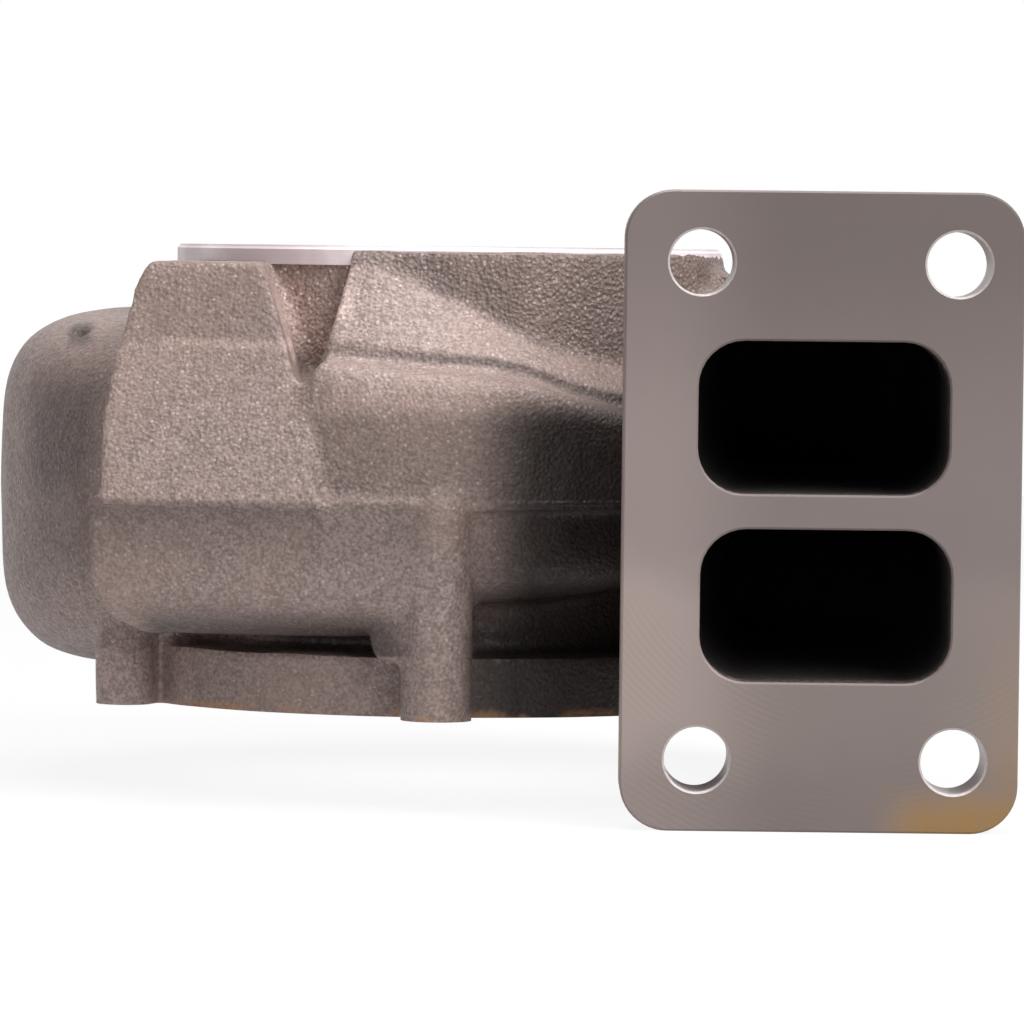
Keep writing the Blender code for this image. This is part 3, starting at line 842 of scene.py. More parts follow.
@dataclass
class Shell:
    """A closed surface of points on a grid, in millimetres from the middle of the inlet flange.

    Rows follow the path and columns go round it. The rows are capped at both ends, or joined into a
    loop. Each strip between two rows can have a finish of its own.
    """

    name: str
    grid: np.ndarray
    finish: Finish = Finish.CAST
    looped: bool = False
    strips: dict[int, Finish] = field(default_factory=dict)
    front_cap: Finish | None = None

    def faces(self) -> tuple[list[list[int]], list[Finish]]:
        """Work out the quads between rows and the caps.

        Each quad takes its corners from one row, the same row one column on, and the next row.

        Returns:
            The faces as lists of points, and the finish of each.
        """
        rows, columns = self.grid.shape[:2]
        index = np.arange(rows * columns).reshape(rows, columns)
        near, far = (index, np.roll(index, -1, axis=0)) if self.looped else (index[:-1], index[1:])
        quads = np.stack([near, np.roll(near, -1, axis=1), np.roll(far, -1, axis=1), far], axis=-1)
        faces = quads.reshape(-1, 4).tolist()
        finishes = [self.strips.get(row, self.finish) for row in range(len(near)) for _ in range(columns)]
        if not self.looped:
            faces += [index[0].tolist(), index[-1].tolist()]
            finishes += [self.front_cap or self.finish, self.finish]
        return faces, finishes

    def mesh(self, materials: dict[Finish, bpy.types.Material]) -> bpy.types.Mesh:
        """Make the mesh, with its faces turned outwards.

        Args:
            materials: The material of each finish.

        Returns:
            The mesh, in metres.
        """
        faces, finishes = self.faces()
        made = bpy.data.meshes.new(self.name)
        made.from_pydata((self.grid.reshape(-1, 3) * MM).tolist(), [], faces)
        used = sorted(set(finishes), key=list(Finish).index)
        for finish in used:
            made.materials.append(materials[finish])
        made.polygons.foreach_set("material_index", [used.index(finish) for finish in finishes])
        shape = bmesh.new()
        shape.from_mesh(made)
        bmesh.ops.recalc_face_normals(shape, faces=shape.faces)
        shape.to_mesh(made)
        shape.free()
        return made


@dataclass(frozen=True)
class TurbineAxis:
    """Where the turbine axis stands, seen from the middle of the inlet flange."""

    side: float = -65.3
    depth: float = 100.0

    def place(self, x: np.ndarray, y: np.ndarray, z: np.ndarray) -> np.ndarray:
        """Move points seen from the axis into the frame.

        Args:
            x: Offsets along X.
            y: Offsets along Y.
            z: Heights.

        Returns:
            The points, with X, Y and Z last.
        """
        x, y, z = np.broadcast_arrays(x, y, z)
        return np.stack([x + self.side, y + self.depth, z], axis=-1)

    def swing(self, radius: np.ndarray, degrees: np.ndarray, z: np.ndarray) -> np.ndarray:
        """Place points by radius, angle and height.

        Args:
            radius: Distances from the axis.
            degrees: Angles from +X, counter-clockwise from above.
            z: Heights.

        Returns:
            The points, with X, Y and Z last.
        """
        angle = np.radians(degrees)
        return self.place(radius * np.cos(angle), radius * np.sin(angle), z)


AXIS = TurbineAxis()
# Tools reach this far past what they cut
CLEAR = 5.0
# Ranges of angles end this far past their last step, so that they include it
HAIR = 0.1


def full_turn(steps: int) -> np.ndarray:
    """Divide a full turn evenly.

    Args:
        steps: How many angles are wanted.

    Returns:
        One row of angles in radians, from 0 up to a full turn.
    """
    return np.linspace(0.0, 2 * math.pi, steps, endpoint=False)[None, :]


def smooth_curve(at: np.ndarray, places: np.ndarray, values: np.ndarray) -> np.ndarray:
    """Read a smooth curve through a few values.

    Between two places the curve is the cubic that has both values and both slopes, and each slope is
    the one that its neighbours give.

    Args:
        at: Where the curve is read.
        places: Where its values are known.
        values: Those values.

    Returns:
        The values at each place asked for.
    """
    slopes = np.gradient(values, places)
    index = np.clip(np.searchsorted(places, at) - 1, 0, len(places) - 2)
    span = places[index + 1] - places[index]
    t = (at - places[index]) / span
    start = (1 + 2 * t) * (1 - t) ** 2 * values[index] + t * (1 - t) ** 2 * span * slopes[index]
    end = t * t * (3 - 2 * t) * values[index + 1] + t * t * (t - 1) * span * slopes[index + 1]
    return start + end


def squircle(half: np.ndarray, top: np.ndarray, bottom: np.ndarray, squareness: float,
             steps: int) -> tuple[np.ndarray, np.ndarray]:
    """Draw rounded sections between an ellipse and a rectangle, one for each row.

    Across is the half width times the cosine to the power 2 over the squareness, and up is the top or
    the bottom height times the sine to the same power, both with their signs kept.

    Args:
        half: Half widths, one a row.
        top: Heights above, one a row.
        bottom: Depths below, one a row.
        squareness: 2 for an ellipse, and more for squarer.
        steps: Points round each section.

    Returns:
        The offsets across and up, with a row for each section.
    """
    angle = full_turn(steps)
    side = np.sign(np.cos(angle)) * np.abs(np.cos(angle)) ** (2 / squareness)
    rise = np.sign(np.sin(angle)) * np.abs(np.sin(angle)) ** (2 / squareness)
    height = np.where(rise > 0, top[:, None], bottom[:, None])
    return half[:, None] * side, height * rise


def rounded_rectangle(width: np.ndarray, height: np.ndarray, radius: np.ndarray,
                      steps: int) -> tuple[np.ndarray, np.ndarray]:
    """Draw rectangles with round corners, one for each row.

    Each corner is a quarter circle about a centre that lies one radius inside both sides.

    Args:
        width: Widths, one a row.
        height: Heights, one a row.
        radius: Corner radii, one a row.
        steps: Steps along each corner.

    Returns:
        The offsets across and up, with a row for each rectangle.
    """
    quarter = np.repeat(np.arange(4), steps + 1)
    share = np.tile(np.arange(steps + 1) / steps, 4)
    angle = np.radians(90.0 * (quarter + share))[None, :]
    side = np.array([1, -1, -1, 1])[quarter][None, :]
    rise = np.array([1, 1, -1, -1])[quarter][None, :]
    across = side * (width / 2 - radius)[:, None] + radius[:, None] * np.cos(angle)
    up = rise * (height / 2 - radius)[:, None] + radius[:, None] * np.sin(angle)
    return across, up


def turned_shell(name: str, profile: np.ndarray, finish: Finish, steps: int, looped: bool = False,
                 strips: dict[int, Finish] | None = None) -> Shell:
    """Turn a profile about the turbine axis.

    Each point of the profile goes round in a circle of its radius at its height.

    Args:
        name: The shell's name.
        profile: Rows of radius and height.
        finish: The finish of the surface.
        steps: Points round.
        looped: Whether the profile is closed, as a ring's is.
        strips: Finishes of single strips.

    Returns:
        The shell.
    """
    degrees = np.linspace(0.0, 360.0, steps, endpoint=False)[None, :]
    grid = AXIS.swing(profile[:, :1], degrees, profile[:, 1:])
    return Shell(name, grid, finish, looped, strips or {})


def upright_shell(name: str, centre: tuple[float, float], sizes: np.ndarray, finish: Finish,
                  steps: int) -> Shell:
    """Raise a round column, whose radius may change with its height.

    Each row is a circle about the centre, seen from the turbine axis.

    Args:
        name: The shell's name.
        centre: Where it stands.
        sizes: Rows of radius and height.
        finish: The finish of the surface.
        steps: Points round.

    Returns:
        The shell.
    """
    angle = full_turn(steps)
    radius, height = sizes[:, :1], sizes[:, 1:]
    grid = AXIS.place(centre[0] + radius * np.cos(angle), centre[1] + radius * np.sin(angle), height)
    return Shell(name, grid, finish)


# Parts of the pattern


@dataclass
class Scroll:
    """The duct that narrows as it goes round the turbine axis."""

    angles: tuple[float, ...] = (-20.0, 0.0, 60.0, 120.0, 180.0, 204.0, 222.0, 250.0, 285.0, 322.0)
    outer: tuple[float, ...] = (96.0, 94.5, 91.5, 87.5, 82.5, 78.5, 75.0, 69.5, 66.5, 62.0)
    top: tuple[float, ...] = (40.0, 39.5, 35.0, 32.4, 32.2, 30.0, 26.5, 20.0, 17.5, 14.0)
    bottom: tuple[float, ...] = (36.0, 36.0, 35.0, 34.0, 33.6, 28.5, 22.5, 20.0, 19.0, 16.0)
    inner_radius: float = 8.0
    squareness: float = 4.0
    step_degrees: float = 3.0
    section_steps: int = 96

    def sizes(self, degrees: np.ndarray) -> tuple[np.ndarray, np.ndarray, np.ndarray]:
        """Read the scroll's size at these angles.

        Args:
            degrees: Angles round the turbine axis.

        Returns:
            The outer radius, the height above and the depth below the parting line.
        """
        places = np.array(self.angles)
        outer, top, bottom = (
            smooth_curve(degrees, places, np.array(values)) for values in (self.outer, self.top, self.bottom)
        )
        return outer, top, bottom

    def pattern(self) -> Shell:
        """Sweep the section round the turbine axis.

        The section at each angle is a squircle from the inner radius to the outer, and it swings
        about the axis with the angle.

        Returns:
            The shell.
        """
        degrees = np.arange(self.angles[0], self.angles[-1] + HAIR, self.step_degrees)
        outer, top, bottom = self.sizes(degrees)
        across, up = squircle((outer - self.inner_radius) / 2, top, bottom, self.squareness,
                              self.section_steps)
        radius = across + (outer + self.inner_radius)[:, None] / 2
        return Shell("scroll", AXIS.swing(radius, degrees[:, None], up))


@dataclass
class InletNeck:
    """The duct from the flange to the scroll."""

    scroll: Scroll
    port_width: float = 42.5
    port_height: float = 25.9
    divider: float = 5.9
    wall: float = 6.2
    start: float = 2.0
    run_out: float = 30.0
    sink: float = 5.0
    stations: int = 43

    def pattern(self) -> Shell:
        """Loft the duct's outside.

        Each section is a squircle, and its right side, top and bottom pass from the flange's size to
        the scroll's on the S curve 3 t squared less 2 t cubed. Past the turbine axis the sections
        follow the scroll, and sink into it by the square of how far they have run out.

        Returns:
            The shell.
        """
        half = self.port_width / 2 + self.wall
        height = self.port_height + self.divider / 2 + self.wall
        depth = np.linspace(self.start, AXIS.depth + self.run_out, self.stations)
        share = np.minimum((depth - self.start) / (AXIS.depth - self.start), 1.0)
        ease = share * share * (3 - 2 * share)
        past = np.maximum(depth - AXIS.depth, 0.0)
        sunk = self.sink * (past / self.run_out) ** 2
        widest = max(self.scroll.outer)
        outer, top, bottom = self.scroll.sizes(np.degrees(np.arcsin(past / widest)))
        right = half + (np.sqrt(outer ** 2 - past ** 2) - sunk + AXIS.side - half) * ease
        across, up = squircle((right + half) / 2, height + (top - sunk - height) * ease,
                              height + (bottom - sunk - height) * ease, self.scroll.squareness,
                              self.scroll.section_steps)
        across = across + ((right - half) / 2)[:, None]
        grid = np.stack(np.broadcast_arrays(across, depth[:, None], up), axis=-1)
        return Shell("inlet_neck", grid)


@dataclass
class InletFlange:
    """The flange that bolts to the manifold, with its four stud holes."""

    width: float = 67.4
    side_shift: float = -1.0
    height: float = 108.4
    thickness: float = 15.0
    corner: float = 8.1
    chamfers: Range = (0.35, 1.0)
    back_gap: float = 1.5
    rough_inset: float = 1.2
    rough_front: float = 4.0
    rough_back_gap: float = 0.3
    rough_chamfers: Range = (0.8, 1.2)
    hole_diameter: float = 11.0
    hole_chamfer: float = 0.35
    hole_spacing: tuple[float, float] = (43.4, 84.1)
    corner_steps: int = 12
    hole_steps: int = 72

    def plate(self, name: str, inset: float, front: float, back: float, chamfers: Range) -> Shell:
        """Raise a rounded rectangle from front to back.

        Each row is the flange's outline, shrunk evenly by the inset and by the chamfer's cut at
        that depth.

        Args:
            name: The shell's name.
            inset: How far all of it is drawn in.
            front: Where it starts.
            back: Where it ends.
            chamfers: The chamfers at the front and the back.

        Returns:
            The shell.
        """
        depth = np.array([front, front + chamfers[0], back - chamfers[1], back])
        cut = np.array([chamfers[0], 0.0, 0.0, chamfers[1]])
        shrink = 2 * (inset + cut)
        across, up = rounded_rectangle(self.width - shrink, self.height - shrink, self.corner - cut,
                                       self.corner_steps)
        across, depth, up = np.broadcast_arrays(across + self.side_shift, depth[:, None], up)
        return Shell(name, np.stack([across, depth, up], axis=-1))

    def rough_plate(self) -> Shell:
        """Make the plate as cast, whose back blends into the neck."""
        back = self.thickness - self.rough_back_gap
        return self.plate("flange_rough", self.rough_inset, self.rough_front, back, self.rough_chamfers)

    def machined_plate(self) -> Shell:
        """Make the crisp plate with its milled face and chamfer.

        Returns:
            The shell.
        """
        shell = self.plate("flange_plate", 0.0, 0.0, self.thickness - self.back_gap, self.chamfers)
        shell.strips = {0: Finish.MILLED}
        shell.front_cap = Finish.MILLED
        return shell

    def drills(self) -> list[Shell]:
        """Make the four drills, each with a cone that cuts the small chamfer.

        Each row is a circle about the hole's centre, and the rows before the face widen.

        Returns:
            The shells.
        """
        radius = self.hole_diameter / 2
        depth = np.array([-CLEAR, 0.0, self.hole_chamfer, self.thickness + CLEAR])[:, None]
        sizes = np.array([radius + self.hole_chamfer + CLEAR, radius + self.hole_chamfer, radius, radius])
        angle = full_turn(self.hole_steps)
        shells = []
        for side in (-1, 1):
            for rise in (-1, 1):
                across = side * self.hole_spacing[0] / 2 + sizes[:, None] * np.cos(angle)
                up = rise * self.hole_spacing[1] / 2 + sizes[:, None] * np.sin(angle)
                grid = np.stack(np.broadcast_arrays(across, depth, up), axis=-1)
                shells.append(Shell("stud_drill", grid, Finish.DRILLED))
        return shells


@dataclass
class OutletSide:
    """The top of the housing: its neck, the machined ring and the rough pad beside the ring."""

    height: float = 44.0
    ring_radius: float = 50.0
    ring_depth: float = 3.4
    ring_chamfer: float = 0.7
    neck_radius: float = 49.0
    pad_angles: tuple[float, ...] = (250.0, 257.0, 269.0, 278.0, 284.0, 322.0, 325.0, 375.0)
    pad_radii: tuple[float, ...] = (50.8, 50.9, 51.8, 54.0, 56.0, 57.5, 50.6, 50.6)
    pad_base: float = 5.0
    pad_top_gap: float = 0.8
    pad_steps: int = 126
    stock: float = 3.0
    steps: int = 240

    def neck(self) -> Shell:
        """Raise the neck under the ring as a plain cylinder."""
        sizes = np.array([(self.neck_radius, 0.0), (self.neck_radius, self.height + self.stock)])
        return upright_shell("outlet_neck", (0.0, 0.0), sizes, Finish.CAST, self.steps)

    def pad(self) -> Shell:
        """Raise the rough pad, whose top stays just under the ring's face.

        Its outline starts at the turbine axis, and its edge has a radius that changes evenly
        between the given angles.

        Returns:
            The shell.
        """
        degrees = np.linspace(self.pad_angles[0], self.pad_angles[-1], self.pad_steps)
        radius = np.interp(degrees, self.pad_angles, self.pad_radii)
        degrees = np.concatenate([[self.pad_angles[0]], degrees])
        radius = np.concatenate([[0.0], radius])
        levels = np.array([self.pad_base, self.height - self.pad_top_gap])[:, None]
        return Shell("outlet_pad", AXIS.swing(radius[None, :], degrees[None, :], levels))

    def ring(self) -> Shell:
        """Turn the ring, whose chamfer runs on into the metal that is planed off.

        Returns:
            The shell.
        """
        lip = self.ring_radius - self.ring_chamfer - self.stock
        profile = np.array([
            (self.ring_radius, self.height - self.ring_depth),
            (self.ring_radius, self.height - self.ring_chamfer),
            (lip, self.height + self.stock),
        ])
        return turned_shell("outlet_ring", profile, Finish.TURNED, self.steps)

    def facing_tool(self) -> Shell:
        """Raise the disc that planes the ring and the pad.

        Returns:
            The shell.
        """
        reach = max(self.pad_radii) + CLEAR
        profile = np.array([(reach, self.height), (reach, self.height + self.stock + CLEAR)])
        return turned_shell("outlet_facing", profile, Finish.TURNED, self.steps)


@dataclass
class BearingSide:
    """The underside: its neck and flange, and the bosses that take the clamping bolts."""

    depth: float = 38.5
    flange_radius: float = 59.0
    flange_thickness: float = 11.0
    neck_radius: float = 50.0
    boss_count: int = 6
    first_angle: float = 269.2
    circle_radius: float = 64.5
    boss_radius: float = 6.6
    boss_height: float = 19.0
    boss_steps: int = 72
    waist_drop: float = 0.6
    waist_rise: float = 1.4
    waist_cut: float = 0.6
    slim_boss: int = 1
    slim_radius: float = 5.6
    slim_shift: float = 0.9
    column_top: float = -3.0
    hole_diameter: float = 6.8
    hole_depth: float = 8.0
    hole_steps: int = 48
    point_radius: float = 0.2
    point_slope: float = 0.55
    stock: float = 3.0
    steps: int = 240

    def centres(self) -> list[tuple[float, float]]:
        """Place the bosses evenly on their circle.

        Returns:
            Their centres, seen from the turbine axis.
        """
        turn = self.first_angle - 360.0 * np.arange(self.boss_count) / self.boss_count
        angle = np.radians(turn)
        places = np.stack([np.cos(angle), np.sin(angle)], axis=-1) * self.circle_radius
        return [(float(x), float(y)) for x, y in places]

    def pattern(self) -> list[Shell]:
        """Raise the neck, the flange and the bosses, of which the first is the tall front column.

        Returns:
            The shells.
        """
        low = -self.depth - self.stock
        neck = np.array([(self.neck_radius, low), (self.neck_radius, 0.0)])
        back = self.flange_thickness - self.depth
        flange = np.array([(self.flange_radius, low), (self.flange_radius, back)])
        shells = [
            upright_shell("bearing_neck", (0.0, 0.0), neck, Finish.CAST, self.steps),
            upright_shell("bearing_flange", (0.0, 0.0), flange, Finish.CAST, self.steps),
        ]
        waist = back - self.waist_drop
        for number, (x, y) in enumerate(self.centres()):
            radius, top = self.boss_radius, self.boss_height - self.depth
            if number == self.slim_boss:
                radius, x = self.slim_radius, x - self.slim_shift
            narrow = radius - self.waist_cut
            sizes = [(radius, low), (radius, waist), (narrow, waist + self.waist_rise), (narrow, top)]
            if number == 0:
                sizes = [(radius, low), (radius, self.column_top)]
            shells.append(upright_shell("boss", (x, y), np.array(sizes), Finish.CAST, self.boss_steps))
        return shells

    def facing_tool(self) -> Shell:
        """Raise the disc that planes the underside and its bosses.

        Returns:
            The shell.
        """
        reach = self.circle_radius + self.boss_radius + CLEAR
        profile = np.array([(reach, -self.depth - self.stock - CLEAR), (reach, -self.depth)])
        return turned_shell("bearing_facing", profile, Finish.TURNED, self.steps)

    def drills(self) -> list[Shell]:
        """Raise a drill in each boss, with the cone that a drill's point leaves.

        Returns:
            The shells.
        """
        radius = self.hole_diameter / 2
        end = self.hole_depth - self.depth
        point = end + self.point_slope * radius
        sizes = np.array([(radius, -self.depth - CLEAR), (radius, end), (self.point_radius, point)])
        return [
            upright_shell("tapping_drill", centre, sizes, Finish.DRILLED, self.hole_steps)
            for centre in self.centres()
        ]


@dataclass
class FrontForms:
    """The forms at the front: the shoulder over the scroll's end, the gusset and the lower wall."""

    angles: tuple[float, ...] = (
        236.0, 246.0, 248.5, 250.5, 257.0, 263.0, 269.0, 278.0, 284.0, 297.0, 314.0,
    )
    crease: tuple[float, ...] = (17.0, 17.5, 21.5, 25.6, 25.0, 24.6, 24.2, 23.1, 22.0, 17.6, 13.0)
    ridge_radius: tuple[float, ...] = (60.0, 60.0, 60.0, 50.9, 50.9, 51.2, 51.5, 53.5, 55.5, 56.5, 57.0)
    ridge: tuple[float, ...] = (17.5, 18.0, 22.5, 43.0, 42.8, 39.8, 36.2, 32.1, 29.2, 25.0, 19.0)
    wall_radius: float = 70.0
    wall_roll: tuple[Range, ...] = ((0.0, 9.5), (0.5, 5.0), (1.8, 2.4))
    crease_radius: float = 65.0
    groove: tuple[Range, ...] = ((-0.8, 1.4), (3.0, 0.7), (3.0, -1.7))
    inner_radius: float = 40.0
    base: float = -2.0
    shoulder_steps: int = 118
    side_steps: int = 12
    round_steps: int = 72
    gusset_levels: tuple[float, ...] = (-2.0, 12.0, 20.8, 26.9, 37.5, 41.3)
    gusset_rings: tuple[tuple[tuple[float, float], ...], ...] = (
        ((-60.8, -64.0), (-21.0, -71.5), (-19.0, -40.0), (-45.0, -20.0)),
        ((-60.6, -59.0), (-23.9, -66.5), (-22.6, -38.7), (-45.0, -18.4)),
        ((-59.3, -55.9), (-25.8, -63.2), (-24.8, -37.9), (-45.0, -17.4)),
        ((-57.7, -53.4), (-27.5, -60.8), (-26.8, -37.3), (-45.0, -16.6)),
        ((-55.2, -51.2), (-30.8, -58.4), (-30.2, -36.4), (-45.0, -15.5)),
        ((-52.8, -50.0), (-32.6, -57.0), (-32.0, -36.0), (-45.0, -15.0)),
    )
    lower_outline: tuple[tuple[float, float], ...] = (
        (-62.6, -61.4), (-45.0, -65.4), (-21.0, -70.0), (-11.0, -70.8), (-4.0, -71.7), (0.2, -71.9),
        (3.2, -70.6), (5.2, -67.6), (5.8, -60.0), (0.0, -40.0), (-40.0, -25.0), (-58.0, -35.0),
    )
    head_centre: tuple[float, float] = (-0.3, -66.9)
    head_sizes: tuple[tuple[float, float], ...] = ((5.3, -4.0), (5.3, -0.4), (4.6, 1.1), (3.2, 2.1))
    web_centre: tuple[float, float] = (-8.4, -63.4)
    web_sizes: tuple[tuple[float, float], ...] = ((3.2, -28.4), (4.6, -25.0), (5.0, -14.0))
    lower_steps: tuple[tuple[float, float], ...] = (
        (0.0, 0.0), (13.0, 0.8), (17.5, 1.8), (20.6, 4.2), (23.0, 8.5), (25.0, 14.0),
    )

    def shoulder(self) -> Shell:
        """Sweep the shoulder round the turbine axis.

        At each angle the section goes up the wall, rolls in to the groove of the crease, and rises
        along the facet to the ridge. Each size changes evenly between the given angles. The roll and
        the groove are given by how far in and how far below the crease each point lies.

        Returns:
            The shell.
        """
        degrees = np.linspace(self.angles[0], self.angles[-1], self.shoulder_steps)
        crease = np.interp(degrees, self.angles, self.crease)
        ridge_radius = np.interp(degrees, self.angles, self.ridge_radius)
        ridge = np.interp(degrees, self.angles, self.ridge)
        full = np.ones_like(degrees)
        inner, wall, base = self.inner_radius * full, self.wall_radius * full, self.base * full
        rolled = [((self.wall_radius - inset) * full, crease - drop) for inset, drop in self.wall_roll]
        rolled += [((self.crease_radius - inset) * full, crease - drop) for inset, drop in self.groove]
        section = [(inner, base), (wall, base), *rolled, (ridge_radius, ridge), (inner, ridge)]
        radius, height = (np.stack(rows, axis=-1) for rows in zip(*section))
        grid = AXIS.swing(radius, degrees[:, None], height)
        return Shell("front_shoulder", grid)

    def gusset(self) -> Shell:
        """Loft the flat gusset through its rings of corners.

        Points run evenly along each side of a ring, and between two rings each goes straight.

        Returns:
            The shell.
        """
        rings = np.array(self.gusset_rings)
        share = np.linspace(0.0, 1.0, self.side_steps, endpoint=False)[None, None, :, None]
        sides = rings[:, :, None, :] * (1 - share) + np.roll(rings, -1, axis=1)[:, :, None, :] * share
        outline = sides.reshape(len(rings), -1, 2)
        levels = np.array(self.gusset_levels)[:, None]
        return Shell("front_gusset", AXIS.place(outline[:, :, 0], outline[:, :, 1], levels))

    def column_head(self) -> Shell:
        """Raise the rounded head of the front column, which stands proud of the parting line."""
        sizes = np.array(self.head_sizes)
        return upright_shell("column_head", self.head_centre, sizes, Finish.CAST, self.round_steps)

    def column_web(self) -> Shell:
        """Raise the web that closes the gap under the lower wall beside the column."""
        sizes = np.array(self.web_sizes)
        return upright_shell("column_web", self.web_centre, sizes, Finish.CAST, self.round_steps)

    def lower_wall(self) -> Shell:
        """Loft the wall below the parting line, which draws in and rounds under.

        Each point of the outline moves towards the turbine axis by the step's inset.

        Returns:
            The shell.
        """
        outline = np.array(self.lower_outline)
        steps = np.array(self.lower_steps)
        reach = np.hypot(outline[:, 0], outline[:, 1])[None, :]
        share = 1 - steps[:, 1:] / reach
        x = outline[None, :, 0] * share
        y = outline[None, :, 1] * share
        return Shell("lower_wall", AXIS.place(x, y, -steps[:, :1]))


# Cores and bores


@dataclass
class GasPassages:
    """The two gas passages, their throats and the bore for the wheel."""

    scroll: Scroll
    neck: InletNeck
    port_corner: float = 7.8
    port_shifts: tuple[float, float] = (-0.85, -0.2)
    scroll_wall: float = 5.5
    floor_wall: float = 8.5
    core_inner: float = 52.0
    core_end: float = 312.0
    mouth_clear: float = 1.0
    mouth_chamfer: float = 0.35
    stations: tuple[tuple[float, float], ...] = ((20.0, 0.0), (40.0, 0.2), (60.0, 0.5), (80.0, 0.8))
    core_step: float = 4.0
    corner_share: float = 0.48
    throat_radius: float = 45.0
    throat_width: float = 16.0
    throat_overlap: float = 3.0
    throat_flare: float = 1.0
    lip: float = 4.2
    wheel_radii: tuple[float, float] = (38.5, 32.0)
    shroud: tuple[float, float] = (8.0, 10.0)
    bore_length: float = 6.0
    outlet_bore: float = 42.0
    outlet_height: float = 44.0
    seat: tuple[float, float] = (44.5, 9.0)
    bearing_bore: float = 40.5
    bearing_depth: float = 38.5
    corner_steps: int = 8
    shroud_steps: int = 16
    steps: int = 240

    def core(self, side: int) -> Shell:
        """Loft one passage from its port to the end of the scroll.

        The first two rows are the cone that breaks the port's edge. Up to the turbine axis the
        sections stand across Y and widen from the port to the scroll, and from there they swing
        round the axis. The floor is thicker than the other walls, because tapped holes stop in it.

        Args:
            side: 1 for the upper passage and -1 for the lower.

        Returns:
            The shell.
        """
        near = self.neck.divider / 2
        column, wall = (1, self.scroll_wall) if side > 0 else (2, self.floor_wall)
        start = [float(size[0]) for size in self.scroll.sizes(np.array([0.0]))]
        first_high = start[column] - wall
        first_right = start[0] - self.scroll_wall + AXIS.side
        first_left = self.core_inner + AXIS.side
        mouth = ((-self.mouth_clear, 0.0), (self.mouth_chamfer, 0.0))
        depth, share = np.array(mouth + self.stations).T
        grow = np.where(depth < 0, self.mouth_clear + self.mouth_chamfer, 0.0)
        half = self.neck.port_width / 2
        left = -half + (first_left + half) * share
        right = half + (first_right - half) * share
        port_high = near + self.neck.port_height
        high = port_high + (first_high - port_high) * share
        corner = np.full_like(share, self.port_corner)
        across, up = rounded_rectangle(right - left + 2 * grow, high - near + 2 * grow, corner + grow,
                                       self.corner_steps)
        shift = self.port_shifts[0 if side > 0 else 1] * (1 - share)
        across = across + ((left + right) / 2 + shift)[:, None]
        up = up + ((high + near) / 2)[:, None]
        across, depth, up = np.broadcast_arrays(across, depth[:, None], up)
        straight = np.stack([across, depth, side * up], axis=-1)
        degrees = np.arange(0.0, self.core_end + HAIR, self.core_step)
        sizes = self.scroll.sizes(degrees)
        high = np.maximum(sizes[column] - wall, self.throat_width / 2)
        width = sizes[0] - self.scroll_wall - self.core_inner
        corner = np.minimum(self.port_corner, self.corner_share * np.minimum(width, high - near))
        across, up = rounded_rectangle(width, high - near, corner, self.corner_steps)
        radius = across + (self.core_inner + width / 2)[:, None]
        up = up + ((high + near) / 2)[:, None]
        swung = AXIS.swing(radius, degrees[:, None], side * up)
        return Shell("gas_core", np.concatenate([straight, swung]), Finish.CORE, strips={0: Finish.MILLED})

    def throat(self, side: int) -> Shell:
        """Turn the slot that joins one passage to the wheel's space.

        Args:
            side: 1 for the upper passage and -1 for the lower.

        Returns:
            The shell.
        """
        half_lip = self.lip / 2
        slope = (self.neck.divider / 2 - half_lip) / (self.core_inner - self.throat_radius)
        inner, reach = self.throat_radius - self.throat_overlap, self.core_inner + self.throat_overlap
        far = self.throat_width / 2
        profile = np.array([
            (inner, side * (half_lip - slope * self.throat_overlap)),
            (reach, side * (half_lip + slope * (reach - self.throat_radius))),
            (reach, side * (far + self.throat_flare)),
            (inner, side * far),
        ])
        return turned_shell("throat_core", profile, Finish.CORE, self.steps, looped=True)

    def bore(self) -> Shell:
        """Turn the tool that bores the seat, the wheel's space and the outlet.

        The shroud is a quarter of an ellipse from the wheel's inlet radius to its outlet radius.

        Returns:
            The shell.
        """
        bottom = -self.bearing_depth
        angle = np.radians(np.linspace(0.0, 90.0, self.shroud_steps))
        inlet, outlet = self.wheel_radii
        base, rise = self.shroud
        radius = outlet + (inlet - outlet) * (1 - np.sin(angle))
        shroud = np.stack([radius, base + rise * (1 - np.cos(angle))], axis=-1)
        profile = np.concatenate([
            [
                (self.seat[0], bottom - CLEAR), (self.seat[0], bottom + self.seat[1]),
                (self.bearing_bore, bottom + self.seat[1]), (self.bearing_bore, -self.throat_width / 2),
                (self.throat_radius, -self.throat_width / 2), (self.throat_radius, base),
            ],
            shroud,
            [
                (outlet, base + rise + self.bore_length), (self.outlet_bore, self.outlet_height),
                (self.outlet_bore, self.outlet_height + CLEAR),
            ],
        ])
        cored = {3: Finish.CORE, 4: Finish.CORE}
        return turned_shell("bore", profile, Finish.TURNED, self.steps, strips=cored)

    def tools(self) -> list[Shell]:
        """List what the cores and the boring tool take away."""
        return [self.core(1), self.core(-1), self.throat(1), self.throat(-1), self.bore()]


# The casting


